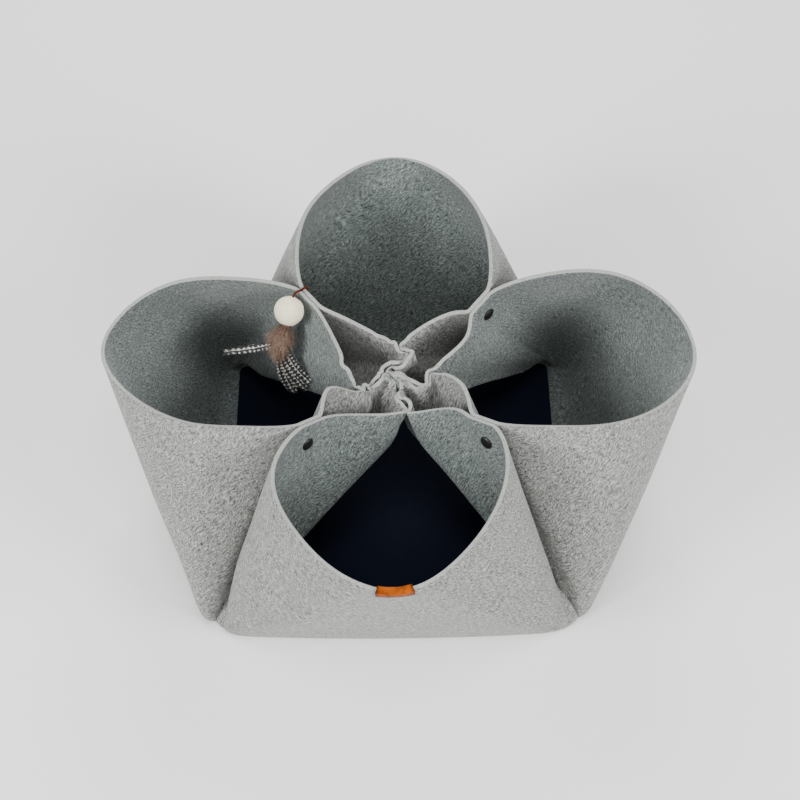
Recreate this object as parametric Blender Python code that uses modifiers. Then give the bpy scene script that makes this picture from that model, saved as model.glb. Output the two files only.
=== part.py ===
"""Felt cat cave: one square felt sheet folded up into a cave with four round mouths.

The middle of the sheet is the floor. Its four corners are drawn together over the floor's centre,
and beside each corner the two neighbouring rims are pressed together, so every side of the sheet
stands open as a mouth. Snap buttons hold three of these pairs of rims. A leather thong holds the
fourth, at the back left, and a felt ball with feathers hangs on it. A thin mat lies on the floor,
and a leather tag is folded over the front lip.

Metres, +Z up. The origin is on the ground under the floor's centre. The front mouth opens to -Y.
"""
import math

import bmesh
import bpy
import numpy as np
from mathutils import Matrix, Vector

MM = 0.001
GAP = 0.3 * MM                 # clearance between touching pieces
ROUND_SIDES = 20               # sides of the turned pieces

# The felt sheet
FELT = 4.5 * MM                # thickness
FLOOR_HALF = 198.0 * MM        # half of the floor's side, to the middle of the felt
FLOOR_CORNER = 30.0 * MM       # radius of the floor's corners in plan
FLOOR_BOW = 5.0 * MM           # how far the middle of each side stands out
BEND = 10.0 * MM               # length of floor and of wall taken by the bend between them
RIM_STEP = 24.0 * MM           # spacing of the sections along the rim
POCKET_STEP = 16.0 * MM        # on the pockets
SEAM_STEP = 8.0 * MM           # and on the gathered seams
LIP_FAN = 27.0 * MM            # the flat part of a wall narrows from the floor's side to this at the lip
BELLY = 6.0 * MM               # how far the wall swells outwards halfway up
FAN_PARTS = 3                  # sections in each half of the lip's fan
WALL_SHARES = (0.08, 0.16, 0.27, 0.41, 0.57, 0.77, 0.93, 1.0)  # rows of a wall from floor to rim
POUCH = 0.28                   # share of a wall's height taken by the rounded pouch in each corner

# The mat, a flat square with its corners cut round
MAT_SIDE = 364.0 * MM
MAT_THICKNESS = 3.0 * MM
MAT_CORNER = 10.0 * MM

# The leather tag folded over the front lip
TAG_WIDTH = 36.0 * MM
TAG_DROP = 10.0 * MM           # how far it reaches down each side of the felt
TAG_LEATHER = 1.2 * MM
TAG_GAP = 0.5 * MM
TAG_EDGE = 0.2 * MM            # below the rim, where its sides turn over

# Snap buttons: turned outlines as (radius, height over the felt's face) in mm
SNAP_DEPTH = 26.0 * MM         # below the rim
SNAP_INWARD = 0.3              # how far inside the pressed stretch's middle, as a share of its half
SNAP_CLEARANCE = 0.5 * MM      # under the edge of a cap
SNAP_HOLE = 5.2 * MM
SNAP_CAP = ((0.0, 2.4), (3.2, 2.3), (5.6, 1.8), (7.0, 1.0), (7.4, 0.4), (7.1, 0.0), (2.2, 0.0))
SNAP_STUD = ((1.5, 0.0), (1.5, -1.9), (0.0, -1.9))
SNAP_SOCKET = ((1.8, 0.0), (1.8, 2.3), (0.0, 2.3))
SNAP_SHANK = 2.2 * MM          # radius

# The toy at the back left pair of rims: the ball's middle, and the thong through the felt
BALL = (-112.8, 79.2, 206)
BALL_RADIUS = 17.0 * MM
THONG = 2.4 * MM
THONG_HOLE = 4.0 * MM
THONG_PLACE = (-98.5, 97)
# Columns: from the middle of the pair of rims towards the ball, and up, in mm
THONG_PATH = (
    (17.5, 213.5), (11.3, 221.6), (6.5, 222.6), (3.0, 221.0), (-2.0, 220.8), (-5.0, 220.6),
    (-6.8, 218.4), (-7.6, 214.0), (-7.9, 209.5), (-6.6, 206.2), (-2.8, 205.0), (2.6, 205.0), (13.0, 205.4),
)
TUFT_SOCKET = 7.0 * MM         # hole in the ball's underside that takes the tuft's bound root
SOCKET_DEPTH = 7.0 * MM
TUFT_ROOT = (-112, 79.5, 196)
TUFT_TIP = (-127, 62, 138)
# Columns: share of the tuft's length, radius of its core in mm
TUFT_CORE = (
    (0.0, 0.0), (0.0, 3.2), (0.13, 3.2), (0.2, 7.0), (0.3, 13.0), (0.44, 14.5), (0.6, 12.5), (0.78, 7.5),
    (0.92, 3.0), (0.95, 0.0),
)
TUFT_LOCKS = 26
LOCK_LENGTH = 20.0 * MM
LOCK_ROOT = 2.0 * MM           # how deep a lock starts inside the core
LOCK_LIFT = 7.0 * MM           # how far a lock's tip stands away from the tuft's core
GOLDEN_TURN = 2.4              # radians between one lock and the next
FIRST_LOCK = 0.2               # share of the tuft's length at its first and its last lock
LAST_LOCK = 0.8
LOCK_CURL = 2.2                # radians of the wave that a lock's length follows
LOCK_STATIONS = (0.0, 0.35, 0.7, 1.0)
LOCK_WIDTHS = (4.0 * MM, 5.0 * MM, 3.6 * MM, 1.2 * MM)
LOCK_THICKNESS = 1.6 * MM
FEATHER_STATIONS = (0.0, 0.2, 0.4, 0.6, 0.8, 0.93, 1.0)
FEATHER_WIDTHS = (0.15, 0.55, 0.9, 1.0, 0.85, 0.5, 0.15)
FEATHER_THICKNESS = 1.2 * MM
TOWARDS_VIEW = (0.0, -0.66, 0.75)
# Columns: where each spotted feather starts, bends and ends in x, y, up, and its width, all in mm
SPOTTED_FEATHERS = (
    ((-116, 74, 172), (-130, 73, 164), (-182, 66, 158), 12),
    ((-120, 69, 160), (-115, 58, 142), (-91, 49, 122), 14),
    ((-121, 68, 157), (-120, 57, 136), (-97, 50, 111), 14),
    ((-122, 68, 154), (-127, 59, 132), (-110, 52, 104), 14),
)

# Where neighbouring rims are pressed together: x, y, up in mm at the middle of the pair, at the
# outer and at the inner end of the stretch on which they touch
RIM_PAIRS = {
    "front_left": ((-97, -94, 219), (-76, -75, 210)),
    "front_right": ((100, -94, 219), (78, -75, 210)),
    "back_right": ((102, 92, 219), (81, 71, 210)),
    "back_left": ((-100, 99, 219), (-82, 80, 212)),
}

# The seams on which the drawn-in corners of the sheet meet, from the mouth inwards: x, y, up in mm
HUB = (-5, 4, 190)
SEAMS = {
    "front": ((12, -47, 185), (13, -36, 183), (8, -25, 187), (2, -12, 186)),
    "right": ((38, 3, 187), (32, -6, 183), (21, -8, 187), (9, -3, 189)),
    "back": ((7, 45, 187), (13, 36, 188), (13, 26, 190), (3, 22, 187), (-5, 15, 190)),
    "left": ((-31, -19, 181), (-26, -10, 182), (-18, -5, 187)),
}

# Rim of each mouth between its two pairs, and the pockets inside them.
# Columns: across (left to right from outside), out (from the centre), up, all in mm
MOUTHS = {
    "front": {
        "left_pocket": (-48, 63, 200), "left_side": (-121, 155, 230),
        "left_shoulder": (-91, 247, 229), "lip": (-3, 303, 222),
        "right_shoulder": (83, 237, 229), "right_side": (110, 150, 230),
        "right_pocket": (57, 55, 199),
    },
    "right": {
        "left_pocket": (-29, 70, 205), "left_side": (-109, 168, 231),
        "left_shoulder": (-93, 249, 228), "lip": (-7, 312, 222),
        "right_shoulder": (92, 266, 229), "right_side": (110, 178, 231),
        "right_pocket": (40, 76, 204),
    },
    "back": {
        "left_pocket": (-60, 76, 203), "left_side": (-105, 154, 230),
        "left_shoulder": (-77, 248, 229), "lip": (-1, 307, 222),
        "right_shoulder": (79, 242, 229), "right_side": (105, 158, 230),
        "right_pocket": (53, 71, 203),
    },
    "left": {
        "left_pocket": (-20, 56, 202), "left_side": (-105, 170, 231),
        "left_shoulder": (-94, 250, 229), "lip": (-7, 304, 222),
        "right_shoulder": (88, 231, 229), "right_side": (105, 166, 231),
        "right_pocket": (30, 66, 204),
    },
}

# How far each wall bulges over the floor's corners at its left and right, in mm
BULGES = {"front": (12, 4), "right": (17, 8), "back": (13, 8), "left": (8, 24)}

# Each section of the wall runs from the floor's edge to the rim. Columns: where it leaves the
# floor's edge, in mm from the middle of the side, and how much it takes of the fold's line, of the
# wall's swell and of the corner's bulge
SECTIONS = {
    "tip": (191.6, 1.0, 0.0, 0.0),
    "seam_in": (188.6, 0.85, 0.0, 0.0),
    "seam_end": (187.0, 0.4, 0.0, 0.0),
    "pocket": (186.0, 0.1, 0.0, 0.0),
    "pair_in": (184.5, 0.0, 0.0, 0.0),
    "pair_out": (182.0, 0.0, 0.0, 0.0),
    "side": (173.0, 0.0, 0.5, 1.0),
    "shoulder": (166.0, 0.0, 1.0, 0.6),
    "lip": (0.0, 0.0, 1.0, 0.0),
}
FAN_EDGE = 158.0 * MM          # where the last section of the lip's fan leaves the floor's edge

# The fold under each drawn-in corner, compared with a straight line from the floor's corner to the
# hub: share of the way, lift in mm
FOLD_LINE = ((0.0, 0), (0.12, 0), (0.26, -8), (0.5, -17), (0.78, -38), (0.91, -48), (1.0, 0))

POUCH_SECTIONS = ("tip", "seam", "pocket")
MOUTH_ORDER = ("front", "right", "back", "left")
PAIR_LEFT_OF = {"front": "front_left", "right": "front_right", "back": "back_right", "left": "back_left"}
PAIR_RIGHT_OF = {"front": "front_right", "right": "back_right", "back": "back_left", "left": "front_left"}
FELT_PITCH = FELT + GAP        # between the middles of two felt walls that touch


def turned(mouth, across, out, up):
    """A point given across and out of a mouth, in the cave's own axes."""
    quarter_turns = MOUTH_ORDER.index(mouth)
    x, y = across, -out
    for _ in range(quarter_turns):
        x, y = -y, x
    return np.array((x, y, up), dtype=float)


def curve_through(points):
    """A smooth curve through points, as a function of the point's number (natural cubic)."""
    points = np.array(points, dtype=float)
    count = len(points)
    knots = np.concatenate(([0.0], np.cumsum(np.linalg.norm(np.diff(points, axis=0), axis=1) ** 0.5)))
    spans = np.diff(knots)
    matrix = np.zeros((count, count))
    target = np.zeros_like(points)
    matrix[0, 0] = matrix[-1, -1] = 1.0
    for i in range(1, count - 1):
        matrix[i, i - 1] = spans[i - 1]
        matrix[i, i] = 2.0 * (spans[i - 1] + spans[i])
        matrix[i, i + 1] = spans[i]
        rise_after = (points[i + 1] - points[i]) / spans[i]
        rise_before = (points[i] - points[i - 1]) / spans[i - 1]
        target[i] = 6.0 * (rise_after - rise_before)
    bends = np.linalg.solve(matrix, target)

    def at(position):
        i = min(int(position), count - 2)
        width = spans[i]
        after = (position - i) * width
        before = width - after
        return (
            (bends[i] * before ** 3 + bends[i + 1] * after ** 3) / (6.0 * width)
            + (points[i] / width - bends[i] * width / 6.0) * before
            + (points[i + 1] / width - bends[i + 1] * width / 6.0) * after
        )

    return at


def floor_edge(mouth, along):
    """A point on the floor's rounded outline, at a length along it from the side's middle."""
    straight = FLOOR_HALF - FLOOR_CORNER
    side = math.copysign(1.0, along)
    angle = max(abs(along) - straight, 0.0) / FLOOR_CORNER
    bow = FLOOR_BOW * (1.0 - min(abs(along) / straight, 1.0) ** 2)
    across = min(abs(along), straight) + FLOOR_CORNER * math.sin(angle)
    out = straight + FLOOR_CORNER * math.cos(angle) + bow
    point = turned(mouth, side * across, out, FELT / 2)
    outward = turned(mouth, side * math.sin(angle), math.cos(angle), 0.0)
    return point, outward


def beside_seam(mouth, side):
    """The edge of one drawn-in corner along a seam, half a felt pitch beside the seam's middle."""
    seam = [np.array(row, dtype=float) * MM for row in SEAMS[mouth]] + [np.array(HUB) * MM]
    edge = []
    for i in range(len(seam) - 1):
        run = (seam[i + 1] - seam[max(i - 1, 0)])[:2]
        run = run / np.linalg.norm(run)
        aside = np.array((-run[1], run[0], 0.0)) * side * FELT_PITCH / 2
        edge.append(seam[i] + aside)
    return edge


def corner_tip(pair):
    """The sheet's corner at the hub, drawn in from the side of one pair of rims."""
    pair_point = np.array(RIM_PAIRS[pair][0], dtype=float)
    return np.array(HUB) * MM + np.array((*np.sign(pair_point[:2]), 0.0)) * FELT_PITCH / 2


def pressed_rim(pair, end, mouth):
    """Where a mouth's own rim is pressed to its neighbour's, at the outer (0) or inner (1) end."""
    point = np.array(RIM_PAIRS[pair][end], dtype=float) * MM
    corner = np.sign(point[:2])
    aside = np.array((-corner[1], corner[0], 0.0)) / math.sqrt(2.0)
    towards_mouth = turned(mouth, 0.0, 1.0, 0.0)
    side = math.copysign(1.0, float(aside @ towards_mouth))
    return point + aside * side * FELT_PITCH / 2


def rim_rows(mouth):
    """The rim of one mouth from hub to hub: rows of (name, side, point, the section's columns)."""
    left_pair, right_pair = PAIR_LEFT_OF[mouth], PAIR_RIGHT_OF[mouth]
    shape = {name: turned(mouth, *row) * MM for name, row in MOUTHS[mouth].items()}
    columns = {name: np.array(row, dtype=float) for name, row in SECTIONS.items()}

    def half(side, pair, names):
        rows = []
        seam = beside_seam(mouth, -side)
        for i, point in enumerate(seam):
            share = i / (len(seam) - 1)
            mixed = columns["seam_end"] * (1.0 - share) + columns["seam_in"] * share
            rows.append(("seam", side, point, mixed))
        rows.append(("tip", side, corner_tip(pair), columns["tip"]))
        rows.reverse()
        rows.append(("pocket", side, shape[names + "_pocket"], columns["pocket"]))
        inner, outer = pressed_rim(pair, 1, mouth), pressed_rim(pair, 0, mouth)
        rows.append(("pair_in", side, inner, columns["pair_in"]))
        rows.append(("pair", side, (inner + outer) / 2, (columns["pair_in"] + columns["pair_out"]) / 2))
        rows.append(("pair_out", side, outer, columns["pair_out"]))
        rows.append(("side", side, shape[names + "_side"], columns["side"]))
        rows.append(("shoulder", side, shape[names + "_shoulder"], columns["shoulder"]))
        return rows

    left = half(-1, left_pair, "left")
    right = half(1, right_pair, "right")
    return left + [("lip", 1, shape["lip"], columns["lip"])] + right[::-1]


def fold_lift(share):
    """Height of the fold above a straight line to the hub, at a share of the way."""
    shares = [row[0] for row in FOLD_LINE]
    i = min(max(int(np.searchsorted(shares, share)) - 1, 0), len(shares) - 2)
    part = (share - shares[i]) / (shares[i + 1] - shares[i])
    eased = part * part * (3.0 - 2.0 * part)
    mixed = 0.5 * (part + eased)
    return (FOLD_LINE[i][1] + (FOLD_LINE[i + 1][1] - FOLD_LINE[i][1]) * mixed) * MM


class Wall:
    """The felt wall under one mouth's rim, as a surface over rim position and height."""

    def __init__(self, mouth):
        self.mouth = mouth
        self.rows = rim_rows(mouth)
        self.rim_curve = curve_through([row[2] for row in self.rows])
        self.lip = [row[0] for row in self.rows].index("lip")
        self.floor_places = [row[1] * row[3][0] * MM for row in self.rows]
        self.fold_shares = [row[3][1] for row in self.rows]
        self.swells = [row[3][2] for row in self.rows]
        left, right = BULGES[mouth]
        self.bulges = [row[1] * row[3][3] * (left if row[1] < 0 else right) * MM for row in self.rows]
        self.pouches = [1.0 if row[0] in POUCH_SECTIONS else 0.0 for row in self.rows]

    def bulge(self, position):
        """How far a section bulges. The wall rolls roundly out of the fold beside each pair of rims."""
        i = min(int(position), len(self.rows) - 2)
        names = (self.rows[i][0], self.rows[i + 1][0])
        if names == ("pair_out", "side"):
            return self.bulges[i + 1] * math.sqrt(1.0 - (1.0 - (position - i)) ** 2)
        if names == ("side", "pair_out"):
            return self.bulges[i] * math.sqrt(1.0 - (position - i) ** 2)
        return self.between_rows(self.bulges, position)

    def rim(self, position):
        """The rim, straight where it is pressed to its neighbour."""
        i = min(int(position), len(self.rows) - 2)
        if self.rows[i][0].startswith("pair") and self.rows[i + 1][0].startswith("pair"):
            return self.rows[i][2] + (self.rows[i + 1][2] - self.rows[i][2]) * (position - i)
        return self.rim_curve(position)

    def between_rows(self, values, position):
        i = min(int(position), len(values) - 2)
        part = position - i
        return values[i] + (values[i + 1] - values[i]) * part

    def beside_lip(self, distance):
        """Rim position at a straight distance to one side of the lip's middle."""
        side = math.copysign(1.0, distance)
        near, far = 0.0, 1.0
        for _ in range(30):
            middle = (near + far) / 2
            if np.linalg.norm(self.rim(self.lip + side * middle) - self.rim(self.lip)) < abs(distance):
                near = middle
            else:
                far = middle
        return self.lip + side * near

    def floor_place(self, position):
        """Where a section leaves the floor's edge. Most of the side belongs to a fan at the lip."""
        from_lip = position - self.lip
        if abs(from_lip) >= 1.0:
            return self.between_rows(self.floor_places, position)
        side = math.copysign(1.0, from_lip)
        rim_length = np.linalg.norm(self.rim(position) - self.rim(self.lip))
        if rim_length < LIP_FAN:
            return side * FAN_EDGE * rim_length / LIP_FAN
        half_length = np.linalg.norm(self.rim(self.lip + side) - self.rim(self.lip))
        part = (rim_length - LIP_FAN) / (half_length - LIP_FAN)
        return side * (FAN_EDGE + (SECTIONS["shoulder"][0] * MM - FAN_EDGE) * part)

    def positions(self):
        """Rim positions of the sections, closer together on the seams and in the lip's fan."""
        places = []
        for i in range(len(self.rows) - 1):
            names = (self.rows[i][0], self.rows[i + 1][0])
            step = SEAM_STEP if "seam" in names else POCKET_STEP if "pocket" in names else RIM_STEP
            fine = [self.rim(i + k / 8) for k in range(9)]
            length = sum(np.linalg.norm(fine[k + 1] - fine[k]) for k in range(8))
            parts = max(1, round(length / step))
            span = [i + k / parts for k in range(parts)]
            if i == self.lip:
                fan = [self.beside_lip(k / FAN_PARTS * LIP_FAN) for k in range(1, FAN_PARTS + 1)]
                span = [i] + fan + [place for place in span if place > fan[-1] + 0.1]
            if i + 1 == self.lip:
                fan = [self.beside_lip(-k / FAN_PARTS * LIP_FAN) for k in range(FAN_PARTS, 0, -1)]
                span = [place for place in span if place < fan[0] - 0.1] + fan
            places += span
        return places + [len(self.rows) - 1]

    def point(self, position, share):
        """A point in the middle of the felt, at a share of the way from floor to rim."""
        base, outward = floor_edge(self.mouth, self.floor_place(position))
        lift = self.between_rows(self.fold_shares, position) * fold_lift(share)
        swell = self.between_rows(self.swells, position) * BELLY * math.sin(math.pi * share ** 0.7)
        bulge = self.bulge(position) * math.sin(math.pi * share ** 0.6)
        aside = turned(self.mouth, bulge, swell + 0.5 * abs(bulge), lift)
        reach = self.rim(position) - base
        pair = PAIR_LEFT_OF[self.mouth] if position < self.lip else PAIR_RIGHT_OF[self.mouth]
        steep = np.array(RIM_PAIRS[pair][0], dtype=float) * MM - base
        steep *= np.linalg.norm(reach) / np.linalg.norm(steep)
        part = min(share / POUCH, 1.0)
        held = self.between_rows(self.pouches, position) * (1.0 - part * part * (3.0 - 2.0 * part))
        return base + (reach * (1.0 - held) + steep * held) * share + aside

    def section(self, position):
        """One section of the wall from the floor, round the bend and up to the rim."""
        base, outward = floor_edge(self.mouth, self.floor_place(position))
        start = base - outward * BEND
        bend_share = BEND / np.linalg.norm(self.rim(position) - base)
        end = self.point(position, bend_share)
        lift = self.between_rows(self.fold_shares, position) * fold_lift(bend_share)
        knee = base + np.array((0.0, 0.0, lift / 2))
        bend = [start * (1 - t) ** 2 + knee * 2 * t * (1 - t) + end * t ** 2 for t in (0.0, 0.5)]
        return bend + [self.point(position, share) for share in (bend_share, *WALL_SHARES)]

    def frame(self, position, share):
        """Point, direction along the rim, direction up the wall and inward normal."""
        small = 0.02
        here = self.point(position, share)
        along = self.point(position + small, share) - self.point(position - small, share)
        upward = self.point(position, share) - self.point(position, share - small)
        along /= np.linalg.norm(along)
        upward /= np.linalg.norm(upward)
        inward = np.cross(upward, along)
        inward /= np.linalg.norm(inward)
        return here, along, upward, inward


def new_collection(name):
    collection = bpy.data.collections.new(name)
    bpy.context.scene.collection.children.link(collection)
    return collection


def new_material(name, colour, roughness, metallic=0.0):
    material = bpy.data.materials.new(name)
    material.use_nodes = True
    shader = material.node_tree.nodes["Principled BSDF"]
    shader.inputs["Base Color"].default_value = (*colour, 1.0)
    shader.inputs["Roughness"].default_value = roughness
    shader.inputs["Metallic"].default_value = metallic
    return material


def add_object(name, mesh, collection, material=None):
    thing = bpy.data.objects.new(name, mesh)
    collection.objects.link(thing)
    if material is not None:
        mesh.materials.append(material)
    return thing


def add_thickness(thing, thickness):
    """Give an open surface its thickness, half to each side."""
    shell = thing.modifiers.new("thickness", "SOLIDIFY")
    shell.thickness = thickness
    shell.offset = 0.0
    return shell


def surface(name, columns, closed=False):
    """A sheet through columns of points."""
    mesh = bmesh.new()
    grid = [[mesh.verts.new(point) for point in column] for column in columns]
    count = len(grid)
    for i in range(count if closed else count - 1):
        here, after = grid[i], grid[(i + 1) % count]
        for k in range(len(here) - 1):
            mesh.faces.new((here[k], here[k + 1], after[k + 1], after[k]))
    bmesh.ops.recalc_face_normals(mesh, faces=mesh.faces)
    data = bpy.data.meshes.new(name)
    mesh.to_mesh(data)
    mesh.free()
    return data


def turned_piece(name, outline, matrix, collection, material):
    """A solid turned round its own Z axis from an outline of (radius, height) in metres."""
    mesh = bmesh.new()
    points = [mesh.verts.new((radius, 0.0, height)) for radius, height in outline]
    for first, second in zip(points, points[1:]):
        mesh.edges.new((first, second))
    data = bpy.data.meshes.new(name)
    mesh.to_mesh(data)
    mesh.free()
    thing = add_object(name, data, collection, material)
    thing.matrix_world = matrix
    screw = thing.modifiers.new("turn", "SCREW")
    screw.steps = screw.render_steps = ROUND_SIDES
    screw.use_merge_vertices = True
    screw.merge_threshold = 0.01 * MM
    screw.use_normal_calculate = True
    return thing


def cutter_rod(name, middle, axis, diameter, length, cutters):
    """A round rod that cuts a hole."""
    mesh = bmesh.new()
    bmesh.ops.create_cone(
        mesh, cap_ends=True, segments=12, radius1=diameter / 2, radius2=diameter / 2, depth=length
    )
    data = bpy.data.meshes.new(name)
    mesh.to_mesh(data)
    mesh.free()
    rod = add_object(name, data, cutters)
    turn = Vector(axis).to_track_quat("Z", "Y").to_matrix().to_4x4()
    rod.matrix_world = Matrix.Translation(Vector(middle)) @ turn
    rod.hide_render = True
    rod.display_type = "WIRE"
    return rod


def cut(thing, rod):
    hole = thing.modifiers.new("cut_" + rod.name, "BOOLEAN")
    hole.operation = "DIFFERENCE"
    hole.object = rod


def felt_mesh():
    """The sheet's middle surface: four walls round the floor, welded along the folds."""
    columns = []
    for mouth in MOUTH_ORDER:
        wall = Wall(mouth)
        sections = [wall.section(place) for place in wall.positions()]
        columns += sections[:-1]
    mesh = bmesh.new()
    mesh.from_mesh(surface("felt_walls", columns, closed=True))
    mesh.verts.ensure_lookup_table()
    levels = len(columns[0])
    floor_ring = [mesh.verts[i * levels] for i in range(len(columns))]
    middle = mesh.verts.new((0.0, 0.0, FELT / 2))
    for i, here in enumerate(floor_ring):
        mesh.faces.new((middle, here, floor_ring[(i + 1) % len(floor_ring)]))
    bmesh.ops.recalc_face_normals(mesh, faces=mesh.faces)
    data = bpy.data.meshes.new("felt_cave")
    mesh.to_mesh(data)
    mesh.free()
    return data


def build_felt(collection):
    material = new_material("grey_felt", (0.42, 0.43, 0.41), 0.95)
    felt = add_object("felt_cave", felt_mesh(), collection, material)
    add_thickness(felt, FELT)
    return felt


def build_mat(collection):
    """A flat square sheet on the felt floor."""
    reach = MAT_SIDE / 2 - MAT_CORNER
    outline = []
    for quarter in range(4):
        centre_angle = math.radians(45 + 90 * quarter)
        centre = (math.copysign(reach, math.cos(centre_angle)), math.copysign(reach, math.sin(centre_angle)))
        for step in range(7):
            angle = math.radians(90 * quarter + 15 * step)
            outline.append((centre[0] + MAT_CORNER * math.cos(angle), centre[1] + MAT_CORNER * math.sin(angle)))
    height = FELT + GAP + MAT_THICKNESS / 2
    mesh = bmesh.new()
    mesh.faces.new([mesh.verts.new((x, y, height)) for x, y in outline])
    data = bpy.data.meshes.new("floor_mat")
    mesh.to_mesh(data)
    mesh.free()
    mat = add_object("floor_mat", data, collection, new_material("navy_cloth", (0.006, 0.009, 0.022), 0.9))
    add_thickness(mat, MAT_THICKNESS)


def tag_section(wall, along):
    """The tag's leather round the lip, from low outside, over the edge, to low inside."""
    position = wall.beside_lip(along)
    here, _, upward, inward = wall.frame(position, 1.0)
    length = np.linalg.norm(wall.rim(position) - wall.point(position, 0.0))
    aside = FELT / 2 + TAG_GAP + TAG_LEATHER / 2
    over = TAG_GAP + TAG_LEATHER / 2
    outside, inside = [], []
    for drop in (TAG_DROP, TAG_DROP / 2, TAG_EDGE):
        # The wall's fan widens downwards, and the tag keeps its width
        widening = 1.0 + drop / length * (FAN_EDGE / LIP_FAN - 1.0)
        point, _, _, normal = wall.frame(wall.beside_lip(along / widening), 1.0 - drop / length)
        outside.append(point - normal * aside)
        inside.append(point + normal * aside)
    top = [here + inward * aside * side * 0.72 + upward * over for side in (-1.0, 1.0)]
    return outside + top + inside[::-1]


def build_tag(front, collection):
    """A leather strip folded over the front lip and sewn through."""
    sections = [tag_section(front, TAG_WIDTH / 2 * step / 2) for step in range(-2, 3)]
    leather = new_material("tan_leather", (0.50, 0.16, 0.035), 0.5)
    tag = add_object("lip_tag", surface("lip_tag", sections), collection, leather)
    add_thickness(tag, TAG_LEATHER)


def pair_walls(walls, pair):
    """The two walls pressed together at a pair of rims, each with the snap's position on its rim."""
    left_mouth = [mouth for mouth in MOUTH_ORDER if PAIR_RIGHT_OF[mouth] == pair][0]
    right_mouth = [mouth for mouth in MOUTH_ORDER if PAIR_LEFT_OF[mouth] == pair][0]
    found = []
    for mouth, side in ((left_mouth, 1), (right_mouth, -1)):
        wall = walls[mouth]
        middle = [i for i, row in enumerate(wall.rows) if row[0] == "pair" and row[1] == side][0]
        found.append((wall, middle + side * SNAP_INWARD))
    return found


def through_pair(walls, pair, depth):
    """Middles of both felt walls at a depth below a pair of rims, and the axis through them."""
    points, normals = [], []
    for wall, place in pair_walls(walls, pair):
        length = np.linalg.norm(wall.rim(place) - wall.point(place, 0.0))
        point, _, _, normal = wall.frame(place, 1.0 - depth / length)
        points.append(point)
        normals.append(normal)
    axis = normals[1] - normals[0]
    axis /= np.linalg.norm(axis)
    middle = (points[0] + points[1]) / 2
    half = axis * float(axis @ (points[1] - points[0])) / 2
    return middle - half, middle + half, axis


def build_snap(walls, pair, felt, collection, cutters, material):
    """A press stud in two halves, one through each wall, and the hole for their shanks."""
    first, second, axis = through_pair(walls, pair, SNAP_DEPTH)
    middle = (first + second) / 2
    hole = cutter_rod("snap_hole_" + pair, middle, axis, SNAP_HOLE, 4 * FELT_PITCH, cutters)
    cut(felt, hole)
    for half, point, outward, core in (
        ("socket", first, -axis, SNAP_SOCKET),
        ("stud", second, axis, SNAP_STUD),
    ):
        face = point + outward * FELT / 2
        shank = np.linalg.norm(face - middle) - GAP / 2
        cap = [(radius * MM, height * MM + SNAP_CLEARANCE) for radius, height in SNAP_CAP]
        inner = [(radius * MM, height * MM - shank) for radius, height in core]
        outline = cap + [(SNAP_SHANK, -shank)] + inner
        turn = Vector(outward).to_track_quat("Z", "Y").to_matrix().to_4x4()
        matrix = Matrix.Translation(Vector(face)) @ turn
        turned_piece("snap_" + pair + "_" + half, outline, matrix, collection, material)


def tube(name, points, diameter, collection, material):
    """A round cord through points, smoothed by a curve through them."""
    route = curve_through(points)
    fine = [route(i / 2) for i in range(2 * (len(points) - 1) + 1)]
    curve = bpy.data.curves.new(name, "CURVE")
    curve.dimensions = "3D"
    curve.bevel_depth = diameter / 2
    curve.bevel_resolution = 2
    curve.use_fill_caps = True
    spline = curve.splines.new("POLY")
    spline.points.add(len(fine) - 1)
    for place, point in zip(spline.points, fine):
        place.co = (*point, 1.0)
    return add_object(name, curve, collection, material)


def thong_point(towards_ball, up):
    x, y = THONG_PLACE
    return np.array((x - towards_ball / math.sqrt(2.0), y - towards_ball / math.sqrt(2.0), up)) * MM


def build_thong(felt, ball, collection, cutters):
    """The thong over the back left rims, down and back through both walls into the ball."""
    points = [thong_point(*row) for row in THONG_PATH]
    leather = new_material("brown_leather", (0.16, 0.045, 0.015), 0.55)
    tube("toy_thong", points, THONG, collection, leather)
    for name, inner, outer in (("top", points[0], points[1]), ("side", points[-1], points[-2])):
        axis = (outer - inner) / np.linalg.norm(outer - inner)
        middle = inner + axis * (BALL_RADIUS / 2 - 1.0 * MM)
        rod = cutter_rod("thong_bore_" + name, middle, axis, THONG_HOLE, BALL_RADIUS, cutters)
        cut(ball, rod)
    middle = (points[-2] + points[-3]) / 2
    axis = points[-2] - points[-3]
    hole = cutter_rod("thong_hole", middle, axis, THONG_HOLE, 4 * FELT_PITCH, cutters)
    cut(felt, hole)


def build_ball(collection):
    mesh = bmesh.new()
    bmesh.ops.create_uvsphere(mesh, u_segments=24, v_segments=14, radius=BALL_RADIUS)
    data = bpy.data.meshes.new("toy_ball")
    mesh.to_mesh(data)
    mesh.free()
    ball = add_object("toy_ball", data, collection, new_material("white_felt", (0.80, 0.77, 0.68), 0.95))
    ball.location = Vector(BALL) * MM
    return ball


def joined(thing, parts):
    """Join a collection of overlapping pieces to a thing as one solid."""
    union = thing.modifiers.new("joined", "BOOLEAN")
    union.operation = "UNION"
    union.operand_type = "COLLECTION"
    union.collection = parts


def across_of(direction, turn):
    """A unit vector across a direction, turned about it."""
    side = direction.orthogonal().normalized()
    return (Matrix.Rotation(turn, 3, direction) @ side).normalized()


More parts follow.
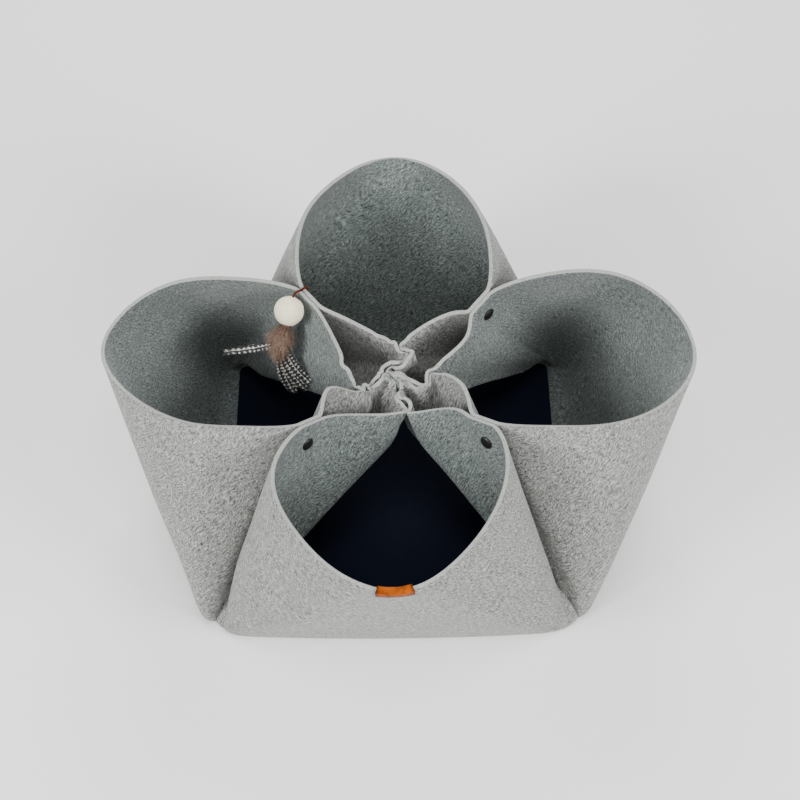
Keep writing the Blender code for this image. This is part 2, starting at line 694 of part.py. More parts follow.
def blade(name, places, widths, thickness, flat_side, collection):
    """A flat tapered blade along a run of places, four sided."""
    mesh = bmesh.new()
    rings = []
    for i, place in enumerate(places):
        run = (places[min(i + 1, len(places) - 1)] - places[max(i - 1, 0)]).normalized()
        side = (flat_side - run * flat_side.dot(run)).normalized()
        deep = run.cross(side)
        corners = ((side, widths[i]), (deep, thickness), (-side, widths[i]), (-deep, thickness))
        rings.append([mesh.verts.new(place + way * size / 2) for way, size in corners])
    for before, after in zip(rings, rings[1:]):
        for k in range(4):
            mesh.faces.new((before[k], before[(k + 1) % 4], after[(k + 1) % 4], after[k]))
    mesh.faces.new(rings[0][::-1])
    mesh.faces.new(rings[-1])
    bmesh.ops.recalc_face_normals(mesh, faces=mesh.faces)
    data = bpy.data.meshes.new(name)
    mesh.to_mesh(data)
    mesh.free()
    part = add_object(name, data, collection)
    part.hide_render = True
    part.display_type = "WIRE"


def build_feathers(ball, collection, feather_parts, cutters):
    """The tuft and the spotted feathers, bound at one root in the ball's underside."""
    root, tip = Vector(TUFT_ROOT) * MM, Vector(TUFT_TIP) * MM
    hang = tip - root
    middle = root + hang.normalized() * (SOCKET_DEPTH - GAP)
    cut(ball, cutter_rod("tuft_socket", middle, hang, TUFT_SOCKET, 2 * SOCKET_DEPTH, cutters))
    outline = [(radius * MM, share * hang.length) for share, radius in TUFT_CORE]
    brown = new_material("brown_feather", (0.22, 0.10, 0.05), 0.9)
    turn = hang.to_track_quat("Z", "Y").to_matrix().to_4x4()
    bundle = turned_piece("feather_bundle", outline, Matrix.Translation(root) @ turn, collection, brown)
    shares = [row[0] for row in TUFT_CORE]
    radii = [row[1] * MM for row in TUFT_CORE]
    down = hang.normalized()
    for i in range(TUFT_LOCKS):
        around = across_of(down, i * GOLDEN_TURN)
        share = FIRST_LOCK + (LAST_LOCK - FIRST_LOCK) * i / (TUFT_LOCKS - 1)
        radius = float(np.interp(share, shares, radii))
        start = root + hang * share + around * (radius - LOCK_ROOT)
        bend = 1.0 - share
        places = [
            start + down * LOCK_LENGTH * t + around * LOCK_LIFT * bend * math.sin(LOCK_CURL * t)
            for t in LOCK_STATIONS
        ]
        blade("lock_%02d" % i, places, LOCK_WIDTHS, LOCK_THICKNESS, down.cross(around), feather_parts)
    for i, (start, bend, end, width) in enumerate(SPOTTED_FEATHERS):
        first, second, last = (Vector(point) * MM for point in (start, bend, end))
        places = [first * (1 - t) ** 2 + second * 2 * t * (1 - t) + last * t ** 2 for t in FEATHER_STATIONS]
        widths = [width * MM * share for share in FEATHER_WIDTHS]
        run = (last - first).normalized()
        flat_side = run.cross(Vector(TOWARDS_VIEW)).normalized()
        blade("feather_%d" % i, places, widths, FEATHER_THICKNESS, flat_side, feather_parts)
    joined(bundle, feather_parts)


def clear_scene():
    for thing in list(bpy.data.objects):
        bpy.data.objects.remove(thing, do_unlink=True)


def main():
    clear_scene()
    cave = new_collection("felt_cat_cave")
    cutters = new_collection("cutters")
    feather_parts = new_collection("feather_parts")
    walls = {mouth: Wall(mouth) for mouth in MOUTH_ORDER}
    felt = build_felt(cave)
    build_mat(cave)
    build_tag(walls["front"], cave)
    black = new_material("black_plastic", (0.01, 0.01, 0.01), 0.45)
    for pair in ("front_left", "front_right", "back_right"):
        build_snap(walls, pair, felt, cave, cutters, black)
    ball = build_ball(cave)
    build_thong(felt, ball, cave, cutters)
    build_feathers(ball, cave, feather_parts, cutters)


main()
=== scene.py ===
"""Dresses the felt cat cave: the folded felt sheet, its mat, lip tag, snap buttons and feather toy.

Laid out as a Blender add-on and run as a script. Metres, +Z up, the tagged mouth faces -Y.
"""
import math
import random

import bmesh
import bpy
import numpy as np
from mathutils import Matrix, Vector, noise


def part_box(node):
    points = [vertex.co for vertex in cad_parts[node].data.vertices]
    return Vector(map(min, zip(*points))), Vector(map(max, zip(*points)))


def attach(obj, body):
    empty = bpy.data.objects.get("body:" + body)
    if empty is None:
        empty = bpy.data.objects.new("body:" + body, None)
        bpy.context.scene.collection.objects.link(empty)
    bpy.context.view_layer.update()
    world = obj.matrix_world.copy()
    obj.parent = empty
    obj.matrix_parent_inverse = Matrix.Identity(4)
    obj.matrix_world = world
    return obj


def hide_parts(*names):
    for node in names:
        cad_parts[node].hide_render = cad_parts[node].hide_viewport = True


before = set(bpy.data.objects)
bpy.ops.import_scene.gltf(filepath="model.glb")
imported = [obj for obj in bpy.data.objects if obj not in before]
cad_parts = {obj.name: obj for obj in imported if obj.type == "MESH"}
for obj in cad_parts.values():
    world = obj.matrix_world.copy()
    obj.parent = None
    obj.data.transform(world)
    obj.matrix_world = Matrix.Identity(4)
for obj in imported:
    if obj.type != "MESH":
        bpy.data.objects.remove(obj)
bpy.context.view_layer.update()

bl_info = {
    "name": "Felt Cat Cave",
    "version": (1, 0, 0),
    "blender": (4, 5, 0),
    "location": "3D View > Sidebar > Cat Cave",
    "description": "Models a folded felt cat cave with its mat, lip tag, snap buttons and feather toy",
    "category": "Object",
}

MM = 0.001
GAP = 0.3 * MM

# The felt's folded form, in mm: the same sizes as the source of the solids
FELT = 4.5 * MM
FELT_PITCH = FELT + GAP
FLOOR_HALF = 198.0 * MM
FLOOR_CORNER = 30.0 * MM
FLOOR_BOW = 5.0 * MM
BEND = 10.0 * MM
LIP_FAN = 27.0 * MM
FAN_EDGE = 158.0 * MM
BELLY = 6.0 * MM
POUCH = 0.28

RIM_PAIRS = {
    "front_left": ((-97, -94, 219), (-76, -75, 210)),
    "front_right": ((100, -94, 219), (78, -75, 210)),
    "back_right": ((102, 92, 219), (81, 71, 210)),
    "back_left": ((-100, 99, 219), (-82, 80, 212)),
}
HUB = (-5, 4, 190)
SEAMS = {
    "front": ((12, -47, 185), (13, -36, 183), (8, -25, 187), (2, -12, 186)),
    "right": ((38, 3, 187), (32, -6, 183), (21, -8, 187), (9, -3, 189)),
    "back": ((7, 45, 187), (13, 36, 188), (13, 26, 190), (3, 22, 187), (-5, 15, 190)),
    "left": ((-31, -19, 181), (-26, -10, 182), (-18, -5, 187)),
}
# Points of each mouth's rim: across (left to right from outside), out (from the centre), up
RIM_POINTS = (
    "left_pocket", "left_side", "left_shoulder", "lip", "right_shoulder", "right_side", "right_pocket",
)
MOUTHS = {
    "front": (
        (-48, 63, 200), (-121, 155, 230), (-91, 247, 229), (-3, 303, 222),
        (83, 237, 229), (110, 150, 230), (57, 55, 199),
    ),
    "right": (
        (-29, 70, 205), (-109, 168, 231), (-93, 249, 228), (-7, 312, 222),
        (92, 266, 229), (110, 178, 231), (40, 76, 204),
    ),
    "back": (
        (-60, 76, 203), (-105, 154, 230), (-77, 248, 229), (-1, 307, 222),
        (79, 242, 229), (105, 158, 230), (53, 71, 203),
    ),
    "left": (
        (-20, 56, 202), (-105, 170, 231), (-94, 250, 229), (-7, 304, 222),
        (88, 231, 229), (105, 166, 231), (30, 66, 204),
    ),
}
# How far the walls roll out beside the folds, left and right, in mm
BULGES = {"front": (12, 4), "right": (17, 8), "back": (13, 8), "left": (8, 24)}
# Columns: place on the floor's edge, and shares of the fold's line, the swell, the bulge, the pouch
SECTIONS = {
    "tip": (191.6, 1.0, 0.0, 0.0, 1.0),
    "seam_in": (188.6, 0.85, 0.0, 0.0, 1.0),
    "seam_end": (187.0, 0.4, 0.0, 0.0, 1.0),
    "pocket": (186.0, 0.1, 0.0, 0.0, 1.0),
    "pair_in": (184.5, 0.0, 0.0, 0.0, 0.0),
    "pair_out": (182.0, 0.0, 0.0, 0.0, 0.0),
    "side": (173.0, 0.0, 0.5, 1.0, 0.0),
    "shoulder": (166.0, 0.0, 1.0, 0.6, 0.0),
    "lip": (0.0, 0.0, 1.0, 0.0, 0.0),
}
FOLD_LINE = ((0.0, 0), (0.12, 0), (0.26, -8), (0.5, -17), (0.78, -38), (0.91, -48), (1.0, 0))
MOUTH_ORDER = ("front", "right", "back", "left")
PAIR_LEFT_OF = {"front": "front_left", "right": "front_right", "back": "back_right", "left": "back_left"}
PAIR_RIGHT_OF = {"front": "front_right", "right": "back_right", "back": "back_left", "left": "front_left"}
SHEET_HALF = 445.0 * MM        # half the side of the flat felt square
RIM_STEP = 5.0 * MM            # spacing of the fine sections along the rim
SEAM_STEP = 2.6 * MM
WALL_ROWS = 42
NOISE_SEED = 6                 # noise vectors start from the clock unless they are seeded
CUT_ROUNDING = 1.1 * MM        # bevel of the felt's cut edges
# Slow dents in the walls: their span and depth, and the heights over which they set in
DENT_SPAN = 85.0 * MM
DENT_DEPTH = 1.6 * MM
DENT_RISE = (12.0 * MM, 70.0 * MM)
# Crinkles of the gather: (span, depth) of the large and the small ones, and where they fade out
CRINKLE = (14.0 * MM, 9.0 * MM)
RUFFLE = (7.0 * MM, 2.5 * MM)
GATHER_REACH = (34.0 * MM, 62.0 * MM)
GATHER_RISE = (130.0 * MM, 180.0 * MM)


# ---------------------------------------------------------------- felt form

def turned(mouth, across, out, up):
    """A point given across and out of a mouth, in the cave's own axes."""
    x, y = across, -out
    for _ in range(MOUTH_ORDER.index(mouth)):
        x, y = -y, x
    return np.array((x, y, up), dtype=float)


def curve_through(points):
    """A smooth curve through points, as a function of the point's number (natural cubic)."""
    points = np.array(points, dtype=float)
    count = len(points)
    knots = np.concatenate(([0.0], np.cumsum(np.linalg.norm(np.diff(points, axis=0), axis=1) ** 0.5)))
    spans = np.diff(knots)
    matrix = np.zeros((count, count))
    target = np.zeros_like(points)
    matrix[0, 0] = matrix[-1, -1] = 1.0
    for i in range(1, count - 1):
        matrix[i, i - 1] = spans[i - 1]
        matrix[i, i] = 2.0 * (spans[i - 1] + spans[i])
        matrix[i, i + 1] = spans[i]
        rise_after = (points[i + 1] - points[i]) / spans[i]
        rise_before = (points[i] - points[i - 1]) / spans[i - 1]
        target[i] = 6.0 * (rise_after - rise_before)
    bends = np.linalg.solve(matrix, target)

    def at(position):
        i = min(int(position), count - 2)
        width = spans[i]
        after = (position - i) * width
        before = width - after
        return (
            (bends[i] * before ** 3 + bends[i + 1] * after ** 3) / (6.0 * width)
            + (points[i] / width - bends[i] * width / 6.0) * before
            + (points[i + 1] / width - bends[i + 1] * width / 6.0) * after
        )

    return at


def eased_through(knots, values):
    """A smooth value through knots that never overshoots between them."""
    knots = np.array(knots, dtype=float)
    values = np.array(values, dtype=float)
    rises = np.diff(values) / np.diff(knots)
    slopes = np.zeros(len(knots))
    for i in range(1, len(knots) - 1):
        if rises[i - 1] * rises[i] > 0.0:
            slopes[i] = 2.0 * rises[i - 1] * rises[i] / (rises[i - 1] + rises[i])
    slopes[0], slopes[-1] = rises[0], rises[-1]

    def at(place):
        i = min(max(int(np.searchsorted(knots, place)) - 1, 0), len(knots) - 2)
        width = knots[i + 1] - knots[i]
        t = (place - knots[i]) / width
        return (
            values[i] * (2 * t ** 3 - 3 * t ** 2 + 1) + slopes[i] * width * (t ** 3 - 2 * t ** 2 + t)
            + values[i + 1] * (3 * t ** 2 - 2 * t ** 3) + slopes[i + 1] * width * (t ** 3 - t ** 2)
        )

    return at


FOLD_LIFT = eased_through([row[0] for row in FOLD_LINE], [row[1] * MM for row in FOLD_LINE])


def arc(first, second, last, t):
    """A point on the curve that leaves for the second of three points and ends in the last."""
    return first * (1 - t) ** 2 + second * 2 * t * (1 - t) + last * t ** 2


def floor_edge(mouth, along):
    """A point on the floor's rounded outline, and the way out from it."""
    straight = FLOOR_HALF - FLOOR_CORNER
    side = math.copysign(1.0, along)
    angle = max(abs(along) - straight, 0.0) / FLOOR_CORNER
    bow = FLOOR_BOW * (1.0 - min(abs(along) / straight, 1.0) ** 2)
    across = min(abs(along), straight) + FLOOR_CORNER * math.sin(angle)
    out = straight + FLOOR_CORNER * math.cos(angle) + bow
    point = turned(mouth, side * across, out, FELT / 2)
    outward = turned(mouth, side * math.sin(angle), math.cos(angle), 0.0)
    return point, outward


def beside_seam(mouth, side):
    """The edge of one drawn-in corner along a seam, half a felt pitch beside the seam's middle."""
    seam = [np.array(row, dtype=float) * MM for row in SEAMS[mouth]] + [np.array(HUB) * MM]
    edge = []
    for i in range(len(seam) - 1):
        run = (seam[i + 1] - seam[max(i - 1, 0)])[:2]
        run = run / np.linalg.norm(run)
        edge.append(seam[i] + np.array((-run[1], run[0], 0.0)) * side * FELT_PITCH / 2)
    return edge


def corner_tip(pair):
    pair_point = np.array(RIM_PAIRS[pair][0], dtype=float)
    return np.array(HUB) * MM + np.array((*np.sign(pair_point[:2]), 0.0)) * FELT_PITCH / 2


def pressed_rim(pair, end, mouth):
    point = np.array(RIM_PAIRS[pair][end], dtype=float) * MM
    corner = np.sign(point[:2])
    aside = np.array((-corner[1], corner[0], 0.0)) / math.sqrt(2.0)
    side = math.copysign(1.0, float(aside @ turned(mouth, 0.0, 1.0, 0.0)))
    return point + aside * side * FELT_PITCH / 2


def rim_rows(mouth):
    """The rim of one mouth from hub to hub: rows of (name, side, point, the section's columns)."""
    shape = {name: turned(mouth, *row) * MM for name, row in zip(RIM_POINTS, MOUTHS[mouth])}
    columns = {name: np.array(row, dtype=float) for name, row in SECTIONS.items()}

    def half(side, pair, names):
        rows = []
        seam = beside_seam(mouth, -side)
        for i, point in enumerate(seam):
            share = i / (len(seam) - 1)
            column = columns["seam_end"] * (1 - share) + columns["seam_in"] * share
            rows.append(("seam", side, point, column))
        rows.append(("tip", side, corner_tip(pair), columns["tip"]))
        rows.reverse()
        rows.append(("pocket", side, shape[names + "_pocket"], columns["pocket"]))
        inner, outer = pressed_rim(pair, 1, mouth), pressed_rim(pair, 0, mouth)
        rows.append(("pair_in", side, inner, columns["pair_in"]))
        rows.append(("pair", side, (inner + outer) / 2, (columns["pair_in"] + columns["pair_out"]) / 2))
        rows.append(("pair_out", side, outer, columns["pair_out"]))
        rows.append(("side", side, shape[names + "_side"], columns["side"]))
        rows.append(("shoulder", side, shape[names + "_shoulder"], columns["shoulder"]))
        return rows

    left = half(-1, PAIR_LEFT_OF[mouth], "left")
    right = half(1, PAIR_RIGHT_OF[mouth], "right")
    return left + [("lip", 1, shape["lip"], columns["lip"])] + right[::-1]


class Wall:
    """The felt wall under one mouth's rim, as a surface over rim position and height."""

    def __init__(self, mouth):
        self.mouth = mouth
        self.rows = rim_rows(mouth)
        self.rim_curve = curve_through([row[2] for row in self.rows])
        names = [row[0] for row in self.rows]
        self.lip = names.index("lip")
        places = list(range(len(names)))
        left, right = BULGES[mouth]
        self.floor_places = eased_through(places, [row[1] * row[3][0] * MM for row in self.rows])
        self.fold_share = eased_through(places, [row[3][1] for row in self.rows])
        self.swell = eased_through(places, [row[3][2] * BELLY for row in self.rows])
        bulges = [row[1] * row[3][3] * (left if row[1] < 0 else right) * MM for row in self.rows]
        self.eased_bulge = eased_through(places, bulges)
        self.bulges = bulges
        self.pouch = eased_through(places, [row[3][4] for row in self.rows])
        self.measure_rim()

    def bulge(self, position):
        """How far a section bulges. The wall rolls roundly out of the fold beside each pair of rims."""
        i = min(int(position), len(self.rows) - 2)
        names = (self.rows[i][0], self.rows[i + 1][0])
        if names == ("pair_out", "side"):
            return self.bulges[i + 1] * math.sqrt(1.0 - (1.0 - (position - i)) ** 2)
        if names == ("side", "pair_out"):
            return self.bulges[i] * math.sqrt(1.0 - (position - i) ** 2)
        return float(self.eased_bulge(position))

    def rim(self, position):
        """The rim, straight where it is pressed to its neighbour."""
        i = min(int(position), len(self.rows) - 2)
        if self.rows[i][0].startswith("pair") and self.rows[i + 1][0].startswith("pair"):
            return self.rows[i][2] + (self.rows[i + 1][2] - self.rows[i][2]) * (position - i)
        return self.rim_curve(position)

    def measure_rim(self):
        """Length along the rim from the lip's middle, for the flat sheet's coordinates."""
        self.marks = np.linspace(0.0, len(self.rows) - 1, 16 * (len(self.rows) - 1) + 1)
        points = np.array([self.rim(mark) for mark in self.marks])
        lengths = np.concatenate(([0.0], np.cumsum(np.linalg.norm(np.diff(points, axis=0), axis=1))))
        at_lip = np.interp(self.lip, self.marks, lengths)
        self.lengths = lengths - at_lip
        self.half_lengths = (-self.lengths[0], self.lengths[-1])

    def flat_rim(self, position):
        """Where a rim position lies on the flat sheet's edge, across from the lip's middle."""
        length = float(np.interp(position, self.marks, self.lengths))
        half = self.half_lengths[0] if length < 0.0 else self.half_lengths[1]
        return length / half * SHEET_HALF

    def beside_lip(self, distance):
        """Rim position at a straight distance to one side of the lip's middle."""
        side = math.copysign(1.0, distance)
        near, far = 0.0, 1.0
        for _ in range(30):
            middle = (near + far) / 2
            if np.linalg.norm(self.rim(self.lip + side * middle) - self.rim(self.lip)) < abs(distance):
                near = middle
            else:
                far = middle
        return self.lip + side * near

    def floor_place(self, position):
        """Where a section leaves the floor's edge. Most of the side belongs to a fan at the lip."""
        from_lip = position - self.lip
        if abs(from_lip) >= 1.0:
            return float(self.floor_places(position))
        side = math.copysign(1.0, from_lip)
        rim_length = np.linalg.norm(self.rim(position) - self.rim(self.lip))
        if rim_length < LIP_FAN:
            return side * FAN_EDGE * rim_length / LIP_FAN
        half_length = np.linalg.norm(self.rim(self.lip + side) - self.rim(self.lip))
        part = (rim_length - LIP_FAN) / (half_length - LIP_FAN)
        return side * (FAN_EDGE + (SECTIONS["shoulder"][0] * MM - FAN_EDGE) * part)

    def point(self, position, share):
        """A point in the middle of the felt, at a share of the way from floor to rim."""
        base, _ = floor_edge(self.mouth, self.floor_place(position))
        lift = float(self.fold_share(position)) * float(FOLD_LIFT(share))
        swell = float(self.swell(position)) * math.sin(math.pi * share ** 0.7)
        bulge = self.bulge(position) * math.sin(math.pi * share ** 0.6)
        aside = turned(self.mouth, bulge, swell + 0.5 * abs(bulge), lift)
        rim_point = self.rim(position)
        reach = rim_point - base
        pair = PAIR_LEFT_OF[self.mouth] if position < self.lip else PAIR_RIGHT_OF[self.mouth]
        steep = np.array(RIM_PAIRS[pair][0], dtype=float) * MM - base
        steep *= np.linalg.norm(reach) / np.linalg.norm(steep)
        part = min(share / POUCH, 1.0)
        held = float(self.pouch(position)) * (1.0 - part * part * (3.0 - 2.0 * part))
        return base + (reach * (1.0 - held) + steep * held) * share + aside

    def section(self, position, shares):
        """Points from the floor, round the bend and up to the rim, with their flat places."""
        base, outward = floor_edge(self.mouth, self.floor_place(position))
        start = base - outward * BEND
        bend_share = BEND / np.linalg.norm(self.rim(position) - base)
        end = self.point(position, bend_share)
        bend = [arc(start, base, end, t) for t in (0, 0.2, 0.4, 0.6, 0.8)]
        rises = [bend_share + (1.0 - bend_share) * share for share in shares]
        points = bend + [self.point(position, rise) for rise in rises]
        flat_base = base[:2]
        flat_rim = turned(self.mouth, self.flat_rim(position), SHEET_HALF, 0.0)[:2]
        steps = [-0.03, -0.02, -0.01, 0.0, 0.02] + rises
        flats = [flat_base + (flat_rim - flat_base) * step for step in steps]
        return points, flats

    def positions(self):
        """Rim positions of the fine sections."""
        places = []
        for i in range(len(self.rows) - 1):
            step = SEAM_STEP if "seam" in (self.rows[i][0], self.rows[i + 1][0]) else RIM_STEP
            length = sum(np.linalg.norm(self.rim(i + (k + 1) / 8) - self.rim(i + k / 8)) for k in range(8))
            parts = max(1, round(length / step))
            span = [i + k / parts for k in range(parts)]
            fan = [self.beside_lip(k * LIP_FAN / 16) - self.lip for k in range(1, 17)]
            if i == self.lip:
                span = [i] + [i + step for step in fan] + [p for p in span if p > i + fan[-1] + 0.02]
            if i + 1 == self.lip:
                near = [self.beside_lip(-k * LIP_FAN / 16) for k in range(16, 0, -1)]
                span = [p for p in span if p < near[0] - 0.02] + near
            places += span
        return places + [len(self.rows) - 1]


# ---------------------------------------------------------------- small tools

def srgb(colour):
    """A colour property or hex string as linear red, green, blue, alpha."""
    if isinstance(colour, str):
        parts = [int(colour[i:i + 2], 16) / 255.0 for i in (1, 3, 5)]
        return (*[c / 12.92 if c <= 0.04045 else ((c + 0.055) / 1.055) ** 2.4 for c in parts], 1.0)
    return (*colour[:3], 1.0)


def deselect():
    if bpy.context.mode != "OBJECT":
        bpy.ops.object.mode_set(mode="OBJECT")
    bpy.ops.object.select_all(action="DESELECT")


def make_active(thing):
    deselect()
    thing.select_set(True)
    bpy.context.view_layer.objects.active = thing


def apply_all(thing):
    make_active(thing)
    for modifier in list(thing.modifiers):
        bpy.ops.object.modifier_apply(modifier=modifier.name)


def thicken(thing, thickness):
    """Give a sheet its thickness, half to each side."""
    shell = thing.modifiers.new("thickness", "SOLIDIFY")
    shell.thickness = thickness
    shell.offset = 0.0


def round_edges(thing, degrees, width, segments):
    """Round the edges that are sharper than an angle."""
    bevel = thing.modifiers.new("rounding", "BEVEL")
    bevel.limit_method = "ANGLE"
    bevel.angle_limit = math.radians(degrees)
    bevel.width = width
    bevel.segments = segments


def settle(thing):
    """Put a piece's place into its mesh."""
    make_active(thing)
    bpy.ops.object.transform_apply(location=True, rotation=True, scale=True)


def mesh_piece(name, mesh):
    data = bpy.data.meshes.new(name)
    mesh.to_mesh(data)
    mesh.free()
    thing = bpy.data.objects.new(name, data)
    bpy.context.scene.collection.objects.link(thing)
    return thing


def dress(thing, material):
    thing.data.materials.clear()
    thing.data.materials.append(material)


def new_material(name):
    material = bpy.data.materials.new(name)
    material.use_nodes = True
    return material, material.node_tree, material.node_tree.nodes["Principled BSDF"]


def node(tree, kind, settings=None, **links):
    """Add a shader node; links give its inputs by name or number as sockets or values."""
    made = tree.nodes.new(kind)
    for name, value in (settings or {}).items():
        setattr(made, name, value)
    for key, value in links.items():
        numbered = key[0] == "i" and key[1:].isdigit()
        socket = made.inputs[int(key[1:]) if numbered else key.replace("_", " ")]
        if isinstance(value, bpy.types.NodeSocket):
            tree.links.new(value, socket)
        else:
            socket.default_value = value
    return made


def ramp(tree, source, stops):
    """A colour ramp over a value, from (place, colour) stops."""
    made = node(tree, "ShaderNodeValToRGB", None, Fac=source)
    band = made.color_ramp
    while len(band.elements) < len(stops):
        band.elements.new(0.5)
    for element, (place, colour) in zip(band.elements, stops):
        element.position = place
        element.color = colour
    return made.outputs["Color"]


def grey(value):
    return (value, value, value, 1.0)


def tinted(colour, share):
    """A linear colour times a share, or times one share for each of red, green and blue."""
    shares = share if isinstance(share, tuple) else (share, share, share)
    return (*[part * by for part, by in zip(colour[:3], shares)], 1.0)


def object_place(tree):
    return node(tree, "ShaderNodeTexCoord").outputs["Object"]


def flat_place(tree, name):
    return node(tree, "ShaderNodeUVMap", {"uv_map": name}).outputs["UV"]


def mark(tree, name):
    """A value kept with the mesh."""
    return node(tree, "ShaderNodeAttribute", {"attribute_name": name}).outputs["Fac"]


def arithmetic(tree, operation, *values):
    links = {"i" + str(i): value for i, value in enumerate(values)}
    return node(tree, "ShaderNodeMath", {"operation": operation}, **links).outputs[0]


def vector(tree, operation, *values):
    links = {"i" + str(i): value for i, value in enumerate(values)}
    made = node(tree, "ShaderNodeVectorMath", {"operation": operation}, **links)
    return made.outputs["Value" if operation == "LENGTH" else "Vector"]


def lumps(tree, place, scale, detail, output="Fac", **more):
    """Soft noise; its scale is in lumps per unit of place."""
    made = node(tree, "ShaderNodeTexNoise", None, Vector=place, Scale=scale, Detail=detail, **more)
    return made.outputs[output]


def mixed(tree, share, first, second, blend="MIX"):
    """Two colours mixed by a share, or multiplied."""
    settings = {"data_type": "RGBA", "blend_type": blend}
    return node(tree, "ShaderNodeMix", settings, i0=share, i6=first, i7=second).outputs[2]


def surface(tree, shader, colour, **values):
    """Give a shader its colour and its constant values."""
    if isinstance(colour, bpy.types.NodeSocket):
        tree.links.new(colour, shader.inputs["Base Color"])
    else:
        shader.inputs["Base Color"].default_value = colour
    for name, value in values.items():
        shader.inputs[name.replace("_", " ")].default_value = value


def relief(tree, shader, height, strength, depth):
    """Fine grain over the modelled shape, from a height."""
    bump = node(tree, "ShaderNodeBump", None, Strength=strength, Distance=depth, Height=height)
    tree.links.new(bump.outputs[0], shader.inputs["Normal"])


# ---------------------------------------------------------------- materials

def hairs(tree, place, turn, along, across):
    """Noise drawn out into hairs: their length and width in mm, turned on the flat sheet."""
    scale = (0.5 / (along * MM), 0.5 / (across * MM), 1.0)
    settings = {"vector_type": "TEXTURE"}
    laid = node(tree, "ShaderNodeMapping", settings, Vector=place, Rotation=(0.0, 0.0, turn))
    drawn = vector(tree, "MULTIPLY", laid.outputs[0], scale)
    return lumps(tree, drawn, 1.0, 2.0, Roughness=0.6)


def pressed_felt(colours):
    """Pressed grey wool felt: matt, made of short crossed hairs, light ones over dark ones."""
    material, tree, shader = new_material("pressed_grey_wool_felt")
    place = flat_place(tree, "sheet")
    inner = mark(tree, "inner")
    # The cut edge lies where the mark of the inner face runs from 0 to 1
    between = arithmetic(tree, "MULTIPLY", inner, arithmetic(tree, "SUBTRACT", 1.0, inner))
    smooth = {"interpolation_type": "SMOOTHSTEP"}
    edge = node(tree, "ShaderNodeMapRange", smooth, Value=between, From_Min=0.0, From_Max=0.12).outputs[0]
    # Slow wander over about 40 mm bends the hairs
    swing = vector(tree, "SUBTRACT", lumps(tree, place, 22.0, 2.0, "Color"), (0.5, 0.5, 0.5))
    bent = vector(tree, "MULTIPLY_ADD", swing, (0.03, 0.03, 0.0), place)
    # Real hairs are 0.03 mm thick; these stand for tufts of them, coarse enough to show
    body = 0.0
    for way, turn, along, across, weight in (
        (bent, 0.9, 3.2, 0.7, 0.34),
        (bent, 0.35, 2.6, 0.65, 0.22),
        (bent, -0.6, 2.6, 0.65, 0.18),
        (place, 0.3, 0.9, 0.7, 0.26),
    ):
        body = arithmetic(tree, "MULTIPLY_ADD", hairs(tree, way, turn, along, across), weight, body)
    dark, light = srgb(colours.felt_hair), srgb(colours.felt)
    middle = tuple(0.5 * d + 0.5 * c for d, c in zip(dark, light))
    tone = ramp(tree, body, [(0.40, dark), (0.5, middle), (0.57, light), (0.63, tinted(light, 1.4))])
    cloud = lumps(tree, place, 45.0, 4.0, Roughness=0.65)
    mottle = ramp(tree, cloud, [(0.32, grey(0.8)), (0.68, grey(1.0))])
    outside = mixed(tree, 1.0, tone, mottle, "MULTIPLY")
    # Painted shade: the inner face is multiplied darker and bluer, partly the felt's own second side,
    # partly painted shade of the cave's dark inside
    shade = mixed(tree, inner, grey(1.0), srgb(colours.felt_inside))
    faces = mixed(tree, 1.0, outside, shade, "MULTIPLY")
    on_edge = lumps(tree, object_place(tree), 900.0, 3.0, Roughness=0.7)
    # Painted highlight: the cut edge is drawn lighter than the faces, partly for its own fuzz, partly as a
    # painted highlight where the edge catches the light
    cut_fuzz_and_highlight = ramp(tree, on_edge, [(0.36, middle), (0.5, tinted(light, 0.9)), (0.62, tinted(light, 1.15))])
    height = node(tree, "ShaderNodeMix", None, i0=edge, i2=body, i3=on_edge).outputs[0]
    relief(tree, shader, height, 0.7, 0.001)
    surface(
        tree, shader, mixed(tree, edge, faces, cut_fuzz_and_highlight),
        Roughness=0.95, Specular_IOR_Level=0.1, Sheen_Weight=0.15, Sheen_Roughness=0.6,
    )
    return material


def napped_navy_cloth(colours):
    """Dark navy napped polyester cloth: matt, nearly black, with a faint fine weave."""
    material, tree, shader = new_material("napped_navy_cloth")
    grain = lumps(tree, object_place(tree), 700.0, 2.0)
    base = srgb(colours.mat)
    tone = ramp(tree, grain, [(0.3, tinted(base, 0.75)), (0.7, tinted(base, 1.25))])
    relief(tree, shader, grain, 0.4, 0.0003)
    surface(tree, shader, tone, Roughness=0.9, Specular_IOR_Level=0.1, Sheen_Weight=0.06)
    return material


def leather(name, colour, cell, roughness):
    """Vegetable-tanned leather: pebbled grain of cells in mm, blotched, darker at its cut edges, dull."""
    material, tree, shader = new_material(name)
    place = object_place(tree)
    to_edge = {"feature": "DISTANCE_TO_EDGE"}
    pebble = node(tree, "ShaderNodeTexVoronoi", to_edge, Vector=place, Scale=1.0 / (cell * MM))
    stain = lumps(tree, place, 130.0, 3.0)
    base = srgb(colour)
    tone = ramp(tree, stain, [(0.34, tinted(base, 0.5)), (0.52, base), (0.7, tinted(base, 1.3))])
    burnt = ramp(tree, mark(tree, "rim"), [(0.0, grey(1.0)), (0.5, grey(0.75)), (1.0, grey(0.22))])
    relief(tree, shader, pebble.outputs["Distance"], 0.35, 0.0003)
    tone = mixed(tree, 1.0, tone, burnt, "MULTIPLY")
    surface(tree, shader, tone, Roughness=roughness, Specular_IOR_Level=0.05)
    return material


def moulded_plastic(colours):
    """Black moulded acetal of a snap button: hard, fine-textured, satin."""
    material, tree, shader = new_material("moulded_black_acetal")
    relief(tree, shader, lumps(tree, object_place(tree), 2500.0, 2.0), 0.15, 0.0001)
    surface(tree, shader, srgb(colours.snap), Roughness=0.42)
    return material


